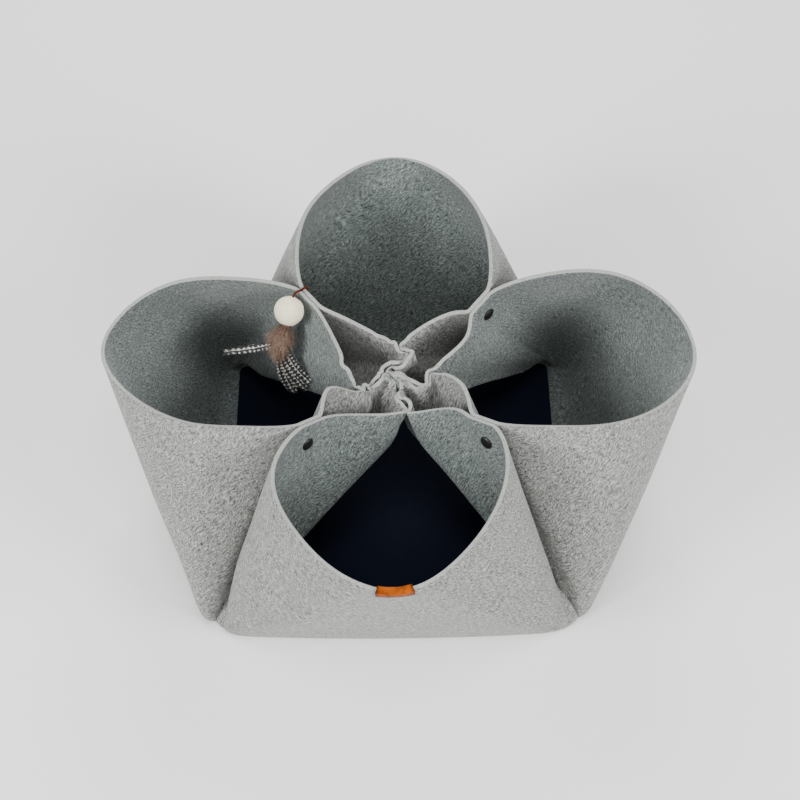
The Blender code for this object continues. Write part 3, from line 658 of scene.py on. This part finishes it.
def felted_ball_wool(colours):
    """Needle-felted white wool: matt, slightly lumpy, darker and creamier where its fine grain sinks."""
    material, tree, shader = new_material("felted_white_wool")
    curl = lumps(tree, object_place(tree), 420.0, 4.0, Distortion=2.0)
    base = srgb(colours.ball)
    tone = ramp(tree, curl, [(0.3, tinted(base, (0.78, 0.74, 0.66))), (0.6, base)])
    relief(tree, shader, curl, 0.8, 0.0006)
    surface(tree, shader, tone, Roughness=0.95, Sheen_Weight=0.3)
    return material


def brown_down(colours):
    """Dyed brown down: fine soft barbs, paler towards their tips."""
    material, tree, shader = new_material("brown_feather_down")
    patch = lumps(tree, object_place(tree), 160.0, 2.0)
    pale = arithmetic(tree, "MULTIPLY_ADD", patch, 0.5, mark(tree, "tip"))
    dark, body, tip = srgb(colours.down_dark), srgb(colours.down), srgb(colours.down_tip)
    tone = ramp(tree, pale, [(0.3, dark), (0.65, body), (1.0, tip)])
    surface(tree, shader, tone, Roughness=0.8, Sheen_Weight=0.2)
    return material


def spotted_vane(colours):
    """Black feather vane with rows of small white dots, and the fine lines of its barbs."""
    material, tree, shader = new_material("spotted_black_feather")
    place = flat_place(tree, "vane")
    # Dots about 2 mm across, one every 4.6 mm along and 4.2 mm across the vane, a little scattered
    cells = vector(tree, "DIVIDE", place, (0.0046, 0.0042, 1.0))
    jitter = lumps(tree, cells, 1.6, 1.0, "Color")
    moved = vector(tree, "MULTIPLY_ADD", jitter, (0.9, 0.8, 0.0), cells)
    off = vector(tree, "SUBTRACT", vector(tree, "FRACTION", moved), (0.5, 0.5, 0.0))
    far = vector(tree, "LENGTH", vector(tree, "MULTIPLY", off, (1.0, 0.86, 0.0)))
    dot, vane = srgb(colours.dot), srgb(colours.vane)
    tone = ramp(tree, far, [(0.0, dot), (0.17, dot), (0.29, vane), (1.0, vane)])
    across = {"bands_direction": "X"}
    barbs = node(tree, "ShaderNodeTexWave", across, Vector=place, Scale=400.0, Distortion=1.0)
    relief(tree, shader, barbs.outputs["Fac"], 0.3, 0.0002)
    surface(tree, shader, tone, Roughness=0.6)
    return material


# ---------------------------------------------------------------- felt piece

def smooth_step(low, high, value):
    t = min(max((value - low) / (high - low), 0.0), 1.0)
    return t * t * (3.0 - 2.0 * t)


def soft_hand(point):
    """How far the felt's own unevenness moves a point: slow dents, and crinkles at the gather."""
    spot = Vector(point)
    slow = noise.noise_vector(spot / DENT_SPAN) * DENT_DEPTH * smooth_step(*DENT_RISE, spot.z)
    from_hub = (spot.xy - Vector(HUB[:2]) * MM).length
    gathered = (1.0 - smooth_step(*GATHER_REACH, from_hub)) * smooth_step(*GATHER_RISE, spot.z)
    crinkle = noise.noise_vector(spot / CRINKLE[0] + Vector((7.0, 3.0, 1.0))) * CRINKLE[1]
    ruffle = noise.noise_vector(spot / RUFFLE[0] + Vector((2.0, 5.0, 9.0))) * RUFFLE[1]
    return np.array(slow + (crinkle + ruffle) * gathered)


def felt_columns():
    """The felt's middle surface as columns of points with their places on the flat sheet."""
    steps = np.linspace(0.0, 1.0, WALL_ROWS + 1)
    shares = [float(0.72 * step + 0.28 * step ** 2) for step in steps]
    columns, flats = [], []
    for mouth in MOUTH_ORDER:
        wall = Wall(mouth)
        for position in wall.positions()[:-1]:
            points, places = wall.section(position, shares)
            columns.append([point + soft_hand(point) for point in points])
            flats.append(places)
    return columns, flats


def mark_rim(mesh_data, count):
    """Mark the cut edge's two long lines for a small bevel."""
    mesh_data.attributes.new("bevel_weight_edge", "FLOAT", "EDGE")
    mesh = bmesh.new()
    mesh.from_mesh(mesh_data)
    mesh.edges.ensure_lookup_table()
    layer = mesh.edges.layers.float.get("bevel_weight_edge")
    for edge in mesh.edges:
        kinds = [{vertex.index < count for vertex in face.verts} for face in edge.link_faces]
        crossing = sum(len(kind) == 2 for kind in kinds)
        if crossing == 1:
            edge[layer] = 1.0
    mesh.to_mesh(mesh_data)
    mesh.free()


def build_felt_sheet(colours):
    noise.seed_set(NOISE_SEED)
    columns, flats = felt_columns()
    mesh = bmesh.new()
    uv = mesh.loops.layers.uv.new("sheet")
    grid = [[mesh.verts.new(point) for point in column] for column in columns]
    flat_of = {}
    for column, places in zip(grid, flats):
        for vertex, flat in zip(column, places):
            flat_of[vertex] = flat
    middle = mesh.verts.new((0.0, 0.0, FELT / 2))
    flat_of[middle] = (0.0, 0.0)
    rings = [[column[0] for column in grid]]
    for share in (0.8, 0.55, 0.3):
        ring = []
        for vertex in rings[0]:
            inner = mesh.verts.new((vertex.co.x * share, vertex.co.y * share, FELT / 2))
            flat_of[inner] = (inner.co.x, inner.co.y)
            ring.append(inner)
        rings.append(ring)
    count = len(grid)
    for i in range(count):
        here, after = grid[i], grid[(i + 1) % count]
        for k in range(len(here) - 1):
            mesh.faces.new((here[k], here[k + 1], after[k + 1], after[k]))
        k = (i + 1) % count
        for outer, inner in zip(rings, rings[1:]):
            mesh.faces.new((inner[i], outer[i], outer[k], inner[k]))
        mesh.faces.new((middle, rings[-1][i], rings[-1][k]))
    bmesh.ops.recalc_face_normals(mesh, faces=mesh.faces)
    for face in mesh.faces:
        for loop in face.loops:
            loop[uv].uv = flat_of[loop.vert]
    sheet = mesh_piece("felt_sheet", mesh)
    count = len(sheet.data.vertices)
    thicken(sheet, FELT)
    apply_all(sheet)
    inner_first = min(v.co.z for v in list(sheet.data.vertices)[:count]) > 0.5 * MM
    marks = sheet.data.attributes.new("inner", "FLOAT", "POINT")
    values = [1.0 if (i < count) == inner_first else 0.0 for i in range(len(sheet.data.vertices))]
    marks.data.foreach_set("value", values)
    mark_rim(sheet.data, count)
    bevel = sheet.modifiers.new("soft_cut", "BEVEL")
    bevel.limit_method = "WEIGHT"
    bevel.width = CUT_ROUNDING
    bevel.segments = 2
    apply_all(sheet)
    sheet.data.shade_smooth()
    dress(sheet, pressed_felt(colours))
    return sheet


# ---------------------------------------------------------------- other pieces

MAT_CLOTH = 2.6 * MM           # thickness
MAT_MIDDLE = FELT + GAP + 1.5 * MM
MAT_CORNER = 10.0 * MM         # radius
MAT_CELLS = 90                 # faces along a side
HEM = 7.0 * MM                 # from the edge to the line of stitches
HEM_WIDTH = 1.6 * MM
HEM_DEPTH = 0.3 * MM
MAT_WAVE = (60.0 * MM, 0.35 * MM)   # span and height of its unevenness


def build_mat_sheet(sizes, colours):
    deselect()
    side = sizes.mat_side
    bpy.ops.mesh.primitive_grid_add(x_subdivisions=MAT_CELLS, y_subdivisions=MAT_CELLS, size=side)
    mat = bpy.context.object
    mat.name = mat.data.name = "mat_cloth"
    reach = side / 2 - MAT_CORNER
    for vertex in mat.data.vertices:
        x, y = vertex.co.x, vertex.co.y
        over = Vector((max(abs(x) - reach, 0.0), max(abs(y) - reach, 0.0)))
        if over.x > 0.0 and over.y > 0.0:
            shrink = max(over.x, over.y) / over.length
            vertex.co.x = math.copysign(reach + over.x * shrink, x)
            vertex.co.y = math.copysign(reach + over.y * shrink, y)
        inside = side / 2 - max(abs(x), abs(y))
        hem = math.exp(-((inside - HEM) / HEM_WIDTH) ** 2)
        lift = MAT_WAVE[1] * noise.noise(Vector((x, y, 0.0)) / MAT_WAVE[0])
        vertex.co.z = MAT_MIDDLE + max(lift, 0.0) - HEM_DEPTH * hem
    thicken(mat, MAT_CLOTH)
    round_edges(mat, 60, 1.0 * MM, 3)
    apply_all(mat)
    mat.data.shade_smooth()
    dress(mat, napped_navy_cloth(colours))
    return mat


TAG_LEATHER = 1.2 * MM         # thickness
TAG_DROP = 10.0 * MM           # how far it comes down each side of the wall
TAG_GAP = 0.5 * MM
TAG_COLUMNS = 25
TAG_ARC = 8                    # steps over the lip's edge


def tag_section(wall, along):
    """The leather round the lip, from low outside, over the edge, to low inside."""
    position = wall.beside_lip(along)

    def place(share, side, height=0.0, beside=position):
        small = 0.02
        here = wall.point(beside, share)
        run = wall.point(beside + small, share) - wall.point(beside - small, share)
        upward = here - wall.point(beside, share - small)
        upward /= np.linalg.norm(upward)
        inward = np.cross(upward, run)
        inward /= np.linalg.norm(inward)
        return here + inward * side + upward * height

    length = np.linalg.norm(wall.rim(position) - wall.point(position, 0.0))
    aside = FELT / 2 + TAG_GAP + TAG_LEATHER / 2
    lower = []
    for drop in np.linspace(TAG_DROP, 0.3 * MM, 6):
        # The wall's fan widens downwards, and the tag keeps its width
        widening = 1.0 + drop / length * (FAN_EDGE / LIP_FAN - 1.0)
        lower.append((1.0 - drop / length, wall.beside_lip(along / widening)))
    outside = [place(share, -aside, 0.0, beside) for share, beside in lower]
    inside = [place(share, aside, 0.0, beside) for share, beside in lower]
    over = []
    for step in range(1, TAG_ARC):
        angle = math.pi * step / TAG_ARC
        squash = math.copysign(abs(math.cos(angle)) ** 0.6, math.cos(angle))
        over.append(place(1.0, -aside * squash, (TAG_GAP + TAG_LEATHER) * math.sin(angle) ** 0.5))
    return outside + over + inside[::-1]


def build_tag_strip(sizes, colours):
    noise.seed_set(NOISE_SEED)
    wall = Wall("front")
    mesh = bmesh.new()
    steps = [k / (TAG_COLUMNS - 1) for k in range(TAG_COLUMNS)]
    rows = [tag_section(wall, sizes.tag_width * (step - 0.5)) for step in steps]
    layer = mesh.verts.layers.float.new("rim")
    grid = []
    for step, row in zip(steps, rows):
        column = []
        aside = abs(2.0 * step - 1.0)
        for i, point in enumerate(row):
            lump = noise.noise_vector(Vector(point) / (9.0 * MM)) * 0.25 * MM
            vertex = mesh.verts.new(Vector(point) + lump)
            vertex[layer] = max(aside ** 6, abs(2.0 * i / (len(row) - 1) - 1.0) ** 4)
            column.append(vertex)
        grid.append(column)
    for here, after in zip(grid, grid[1:]):
        for k in range(len(here) - 1):
            mesh.faces.new((here[k], here[k + 1], after[k + 1], after[k]))
    bmesh.ops.recalc_face_normals(mesh, faces=mesh.faces)
    tag = mesh_piece("tag_leather", mesh)
    thicken(tag, TAG_LEATHER)
    round_edges(tag, 50, 0.3 * MM, 2)
    apply_all(tag)
    tag.data.shade_smooth()
    dress(tag, leather("vegetable_tanned_leather", colours.tag, 0.8, 0.5))
    return tag


FUZZ_HAIRS = 1500
FUZZ_WIDTHS = [0.07 * MM, 0.06 * MM, 0.05 * MM, 0.02 * MM]


def build_wool_ball(colours):
    low, high = (Vector(corner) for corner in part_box("toy_ball"))
    centre = (low + high) / 2
    radius = (high.x - low.x) / 2
    deselect()
    bpy.ops.mesh.primitive_ico_sphere_add(subdivisions=6, radius=radius - 1.1 * MM, location=centre)
    ball = bpy.context.object
    ball.name = ball.data.name = "wool_ball"
    settle(ball)
    for vertex in ball.data.vertices:
        away = (vertex.co - centre).normalized()
        lump = 0.5 * noise.noise(vertex.co / (9.0 * MM)) + 0.25 * noise.noise(vertex.co / (2.2 * MM))
        vertex.co += away * lump * MM
    ball.data.shade_smooth()
    material = felted_ball_wool(colours)
    dress(ball, material)
    chance = random.Random(11)
    mesh = bmesh.new()
    for _ in range(FUZZ_HAIRS):
        z = chance.uniform(-1.0, 1.0)
        turn = chance.uniform(0.0, 2.0 * math.pi)
        ring = math.sqrt(1.0 - z * z)
        away = Vector((ring * math.cos(turn), ring * math.sin(turn), z))
        any_way = Vector((chance.uniform(-1, 1), chance.uniform(-1, 1), chance.uniform(-1, 1)))
        side = away.cross(any_way).normalized()
        start = centre + away * (radius - 1.4 * MM)
        length = chance.uniform(1.5, 3.5) * MM
        lift = chance.uniform(0.2, 0.5)
        places = [
            start + side * length * t + away * length * lift * math.sin(2.6 * t)
            for t in (0.0, 0.35, 0.7, 1.0)
        ]
        ribbon(mesh, places, FUZZ_WIDTHS, away.cross(side))
    fuzz = mesh_piece("ball_fuzz", mesh)
    dress(fuzz, material)
    return ball, fuzz


def ribbon(mesh, places, widths, side, marks=None, layer=None):
    """A thin flat hair through places."""
    pairs = []
    for i, place in enumerate(places):
        pair = [mesh.verts.new(place + side * widths[i] * way) for way in (-0.5, 0.5)]
        if layer is not None:
            for vertex in pair:
                vertex[layer] = marks[i]
        pairs.append(pair)
    for before, after in zip(pairs, pairs[1:]):
        mesh.faces.new((before[0], before[1], after[1], after[0]))


TUFT_ROOT = Vector((-112, 79.5, 196)) * MM
TUFT_TIP = Vector((-127, 62, 138)) * MM
TUFT_BOW = Vector((-4, 0, 0)) * MM
# Columns: share of the tuft's length, radius in mm
TUFT_OUTLINE = (
    (0.0, 3.0), (0.08, 8.0), (0.14, 14.0), (0.26, 17.5), (0.42, 18.0),
    (0.58, 15.0), (0.76, 10.5), (0.95, 6.0),
)
DOWN_BARBS = 2600
BARB_STEPS = 5
# Columns: root, bend and tip; width; shares of the width that are left at the root and at the tip
SPOTTED_FEATHERS = (
    ((-118, 74, 168), (-134, 71, 158), (-186, 66, 157), 9, 0.35, 0.8),
    ((-120, 69, 160), (-115, 58, 142), (-91, 49, 122), 14, 1.0, 0.3),
    ((-121, 68, 157), (-120, 57, 136), (-97, 50, 111), 14, 1.0, 0.3),
    ((-122, 68, 154), (-127, 59, 132), (-110, 52, 104), 14, 1.0, 0.3),
)


def build_down_tuft(colours):
    """Thousands of fine curved barbs round the tuft's core."""
    noise.seed_set(NOISE_SEED)
    chance = random.Random(5)
    mesh = bmesh.new()
    layer = mesh.verts.layers.float.new("tip")
    hang = TUFT_TIP - TUFT_ROOT
    down = hang.normalized()
    shares = [row[0] for row in TUFT_OUTLINE]
    radii = [row[1] * MM for row in TUFT_OUTLINE]
    first = down.orthogonal().normalized()
    second = down.cross(first)
    for _ in range(DOWN_BARBS):
        turn = chance.uniform(0.0, 2.0 * math.pi)
        around = first * math.cos(turn) + second * math.sin(turn)
        begin = chance.uniform(0.1, 0.62)
        length = chance.uniform(0.18, 0.42)
        full = chance.uniform(0.55, 1.05)
        tone = chance.uniform(0.0, 1.0) ** 1.4
        sway = chance.uniform(-0.9, 0.9)
        places, widths, marks = [], [], []
        for k in range(BARB_STEPS + 1):
            t = k / BARB_STEPS
            share = min(begin + length * t, 0.98)
            radius = float(np.interp(share, shares, radii)) * (full * (0.35 + 0.65 * t) + 0.22 * t * t)
            angle = turn + sway * t
            out = first * math.cos(angle) + second * math.sin(angle)
            place = TUFT_ROOT + hang * share + TUFT_BOW * math.sin(math.pi * share) + out * radius
            place += noise.noise_vector(place / (5.0 * MM)) * 2.6 * MM * t
            places.append(place)
            widths.append((0.30 * (1.0 - t) + 0.06) * MM)
            marks.append(tone * (0.45 + 0.55 * t))
        ribbon(mesh, places, widths, down.cross(around), marks, layer)
    tuft = mesh_piece("down_tuft", mesh)
    dress(tuft, brown_down(colours))
    return tuft


VANE_BARBS = 64                # along each side of a shaft
VANE_STEPS = 4                 # faces along each barb
SHAFT_WIDTHS = [0.8 * MM, 0.7 * MM, 0.55 * MM, 0.4 * MM, 0.2 * MM]
SHAFT_RISE = 0.25 * MM
VANE_CURL = 0.9 * MM


def build_spotted_feathers(colours):
    """Four vanes with a raised shaft, split into barbs at their edges."""
    chance = random.Random(23)
    mesh = bmesh.new()
    uv = mesh.loops.layers.uv.new("vane")
    towards_view = Vector((0.0, -0.66, 0.75))
    for start, bend, end, width, root_share, tip_share in SPOTTED_FEATHERS:
        first, second, last = (Vector(point) * MM for point in (start, bend, end))
        length = (second - first).length + (last - second).length
        side_way = (last - first).normalized().cross(towards_view).normalized()
        facing = side_way.cross((last - first).normalized())
        for half in (-1.0, 1.0):
            for k in range(VANE_BARBS):
                t = k / VANE_BARBS
                u = t * length
                here = arc(first, second, last, t)
                run = (second - first) * (1 - t) + (last - second) * t
                run.normalize()
                belly = math.sin(math.pi * t) ** 0.6
                end_share = root_share + (tip_share - root_share) * t
                full = width * MM / 2 * (end_share + (1.0 - end_share) * belly)
                full *= chance.uniform(0.88, 1.04)
                lean = chance.uniform(0.55, 0.75) * full
                barb = length / VANE_BARBS * 1.25
                edge = []
                for j in range(VANE_STEPS + 1):
                    s = j / VANE_STEPS
                    curl = facing * (VANE_CURL * s * s * (1.0 if half > 0 else 0.7))
                    middle = here + side_way * half * full * s + run * lean * s ** 1.5 - curl
                    thick = barb * (1.0 - 0.45 * s)
                    edge.append((middle - run * thick / 2, middle + run * thick / 2, s))
                for (a, b, s0), (c, d, s1) in zip(edge, edge[1:]):
                    corners = [mesh.verts.new(point) for point in (a, b, d, c)]
                    face = mesh.faces.new(corners)
                    for loop, (du, dv) in zip(face.loops, ((0, s0), (barb, s0), (barb, s1), (0, s1))):
                        loop[uv].uv = (u + du + lean * dv ** 1.5, half * full * dv + 0.05)
        shaft = [arc(first, second, last, t) + facing * SHAFT_RISE for t in (0, 0.25, 0.5, 0.75, 1.0)]
        before = len(mesh.faces)
        ribbon(mesh, shaft, SHAFT_WIDTHS, side_way)
        mesh.faces.ensure_lookup_table()
        for face in mesh.faces[before:]:
            for loop in face.loops:
                loop[uv].uv = (0.0, 0.0)
    feathers = mesh_piece("spotted_feathers", mesh)
    dress(feathers, spotted_vane(colours))
    return feathers


# ---------------------------------------------------------------- add-on

class CaveSizes(bpy.types.PropertyGroup):
    mat_side: bpy.props.FloatProperty(
        name="Mat Side", description="Side of the square floor mat",
        default=0.364, min=0.2, max=0.38, unit="LENGTH",
    )
    tag_width: bpy.props.FloatProperty(
        name="Tag Width", description="Width of the leather tag along the lip",
        default=0.036, min=0.01, max=0.06, unit="LENGTH",
    )


def colour_property(name, description, code):
    return bpy.props.FloatVectorProperty(
        name=name, description=description, subtype="COLOR", size=3, min=0.0, max=1.0,
        default=srgb(code)[:3],
    )


class CaveColours(bpy.types.PropertyGroup):
    felt: colour_property("Felt", "Light hairs of the felt", "#a8a9a4")
    felt_hair: colour_property("Felt Hair", "Dark hairs of the felt", "#343535")
    # Colour of the inner face: partly its own tint, partly painted shade of the cave's inside
    felt_inside: colour_property("Felt Inside", "Tint of the felt's inner face", "#cfdcdd")
    mat: colour_property("Mat", "Napped cloth of the floor mat", "#0d1222")
    tag: colour_property("Tag", "Tanned leather of the lip tag", "#8f4308")
    thong: colour_property("Thong", "Leather of the toy's thong", "#54210f")
    snap: colour_property("Snap", "Plastic of the snap buttons", "#141414")
    ball: colour_property("Ball", "Wool of the toy ball", "#fff8dc")
    down: colour_property("Down", "Brown down of the tuft", "#6f5140")
    down_dark: colour_property("Down Dark", "Down near the tuft's core", "#36251b")
    down_tip: colour_property("Down Tip", "Tips of the down", "#b59a84")
    vane: colour_property("Vane", "Ground colour of the spotted feathers", "#15161a")
    dot: colour_property("Dot", "Dots of the spotted feathers", "#c4c2b8")


def chosen():
    scene = bpy.context.scene
    return scene.cave_sizes, scene.cave_colours


class CAVE_OT_felt(bpy.types.Operator):
    """Fold the felt sheet into the cave"""
    bl_idname = "cave.felt"
    bl_label = "Felt Sheet"

    def execute(self, context):
        _, colours = chosen()
        sheet = build_felt_sheet(colours)
        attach(sheet, "root")
        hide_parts("felt_cave")
        return {"FINISHED"}


class CAVE_OT_mat(bpy.types.Operator):
    """Lay the floor mat in the cave"""
    bl_idname = "cave.mat"
    bl_label = "Floor Mat"

    def execute(self, context):
        sizes, colours = chosen()
        mat = build_mat_sheet(sizes, colours)
        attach(mat, "root")
        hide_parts("floor_mat")
        return {"FINISHED"}


class CAVE_OT_tag(bpy.types.Operator):
    """Fold the leather tag over the front lip"""
    bl_idname = "cave.tag"
    bl_label = "Lip Tag"

    def execute(self, context):
        tag = build_tag_strip(*chosen())
        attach(tag, "root")
        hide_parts("lip_tag")
        return {"FINISHED"}


class CAVE_OT_fastenings(bpy.types.Operator):
    """Finish the snap buttons and the thong"""
    bl_idname = "cave.fastenings"
    bl_label = "Snaps and Thong"

    def execute(self, context):
        _, colours = chosen()
        plastic = moulded_plastic(colours)
        thong = leather("brown_leather_lace", colours.thong, 0.5, 0.55)
        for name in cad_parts:
            if name.startswith("snap_"):
                dress(bpy.data.objects[name], plastic)
            if name == "toy_thong":
                dress(bpy.data.objects[name], thong)
        return {"FINISHED"}


class CAVE_OT_toy(bpy.types.Operator):
    """Make the wool ball and its feathers"""
    bl_idname = "cave.toy"
    bl_label = "Feather Toy"

    def execute(self, context):
        _, colours = chosen()
        ball, fuzz = build_wool_ball(colours)
        tuft = build_down_tuft(colours)
        feathers = build_spotted_feathers(colours)
        for piece in (ball, fuzz, tuft, feathers):
            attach(piece, "root")
        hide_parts("toy_ball")
        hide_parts("feather_bundle")
        return {"FINISHED"}


# Where the photograph was taken from
CAMERA_PLACE = Vector((-0.01138583, -1.36592782, 1.69427932))
CAMERA_DOWN = math.radians(48.511)
CAMERA_TURN = math.radians(0.7055)
CAMERA_LENS = 86.78
FLOOR_SIZE = 60.0
LAMPS_AIM = Vector((0.0, 0.0, 0.1))
# Columns: name, place, size in metres, power in watts
LAMPS = (
    ("left", (-2.4, -1.6, 1.6), 1.2, 125.0),
    ("right", (2.4, -1.6, 1.6), 1.2, 115.0),
    ("front", (0.0, -2.8, 1.9), 1.4, 35.0),
    ("top", (0.0, -0.9, 3.2), 1.2, 38.0),
    ("back", (0.0, 2.6, 1.8), 1.4, 80.0),
)


class CAVE_OT_stage(bpy.types.Operator):
    """Set the pale floor, the soft lights and the camera"""
    bl_idname = "cave.stage"
    bl_label = "Stage"

    def execute(self, context):
        scene = context.scene
        deselect()
        bpy.ops.mesh.primitive_plane_add(size=FLOOR_SIZE)
        floor = context.object
        floor.name = "pale_floor"
        material, tree, shader = new_material("pale_floor_paint")
        surface(tree, shader, srgb("#f7f7f6"), Roughness=0.9)
        dress(floor, material)
        world = bpy.data.worlds.new("studio")
        world.use_nodes = True
        background = world.node_tree.nodes["Background"]
        background.inputs["Color"].default_value = srgb("#eef2f6")
        background.inputs["Strength"].default_value = 0.16
        scene.world = world
        for name, place, size, power in LAMPS:
            light = bpy.data.lights.new(name, "AREA")
            light.energy = power
            light.size = size
            lamp = bpy.data.objects.new(name, light)
            scene.collection.objects.link(lamp)
            lamp.location = place
            lamp.rotation_euler = (LAMPS_AIM - Vector(place)).to_track_quat("-Z", "Y").to_euler()
        camera = bpy.data.cameras.new("photo_view")
        camera.lens = CAMERA_LENS
        camera.sensor_width = 36.0
        camera.clip_start = 0.01
        view = bpy.data.objects.new("photo_view", camera)
        scene.collection.objects.link(view)
        level = math.cos(CAMERA_DOWN)
        ahead = Vector((
            math.sin(CAMERA_TURN) * level, math.cos(CAMERA_TURN) * level, -math.sin(CAMERA_DOWN)
        ))
        right = Vector((math.cos(CAMERA_TURN), -math.sin(CAMERA_TURN), 0.0))
        turn = Matrix((right, right.cross(ahead), -ahead)).transposed().to_4x4()
        view.matrix_world = Matrix.Translation(CAMERA_PLACE) @ turn
        scene.camera = view
        return {"FINISHED"}


class CAVE_PT_panel(bpy.types.Panel):
    bl_label = "Felt Cat Cave"
    bl_idname = "CAVE_PT_panel"
    bl_space_type = "VIEW_3D"
    bl_region_type = "UI"
    bl_category = "Cat Cave"

    def draw(self, context):
        layout = self.layout
        for group in (context.scene.cave_sizes, context.scene.cave_colours):
            box = layout.box()
            for name in group.__annotations__:
                box.prop(group, name)
        for operator in OPERATORS:
            layout.operator(operator.bl_idname)


OPERATORS = (CAVE_OT_stage, CAVE_OT_felt, CAVE_OT_mat, CAVE_OT_tag, CAVE_OT_fastenings, CAVE_OT_toy)
CLASSES = (CaveSizes, CaveColours, *OPERATORS, CAVE_PT_panel)


def register():
    for kind in CLASSES:
        bpy.utils.register_class(kind)
    bpy.types.Scene.cave_sizes = bpy.props.PointerProperty(type=CaveSizes)
    bpy.types.Scene.cave_colours = bpy.props.PointerProperty(type=CaveColours)


def unregister():
    del bpy.types.Scene.cave_colours
    del bpy.types.Scene.cave_sizes
    for kind in reversed(CLASSES):
        bpy.utils.unregister_class(kind)


def main():
    register()
    bpy.ops.cave.stage()
    bpy.ops.cave.felt()
    bpy.ops.cave.mat()
    bpy.ops.cave.tag()
    bpy.ops.cave.fastenings()
    bpy.ops.cave.toy()


if __name__ == "__main__":
    main()
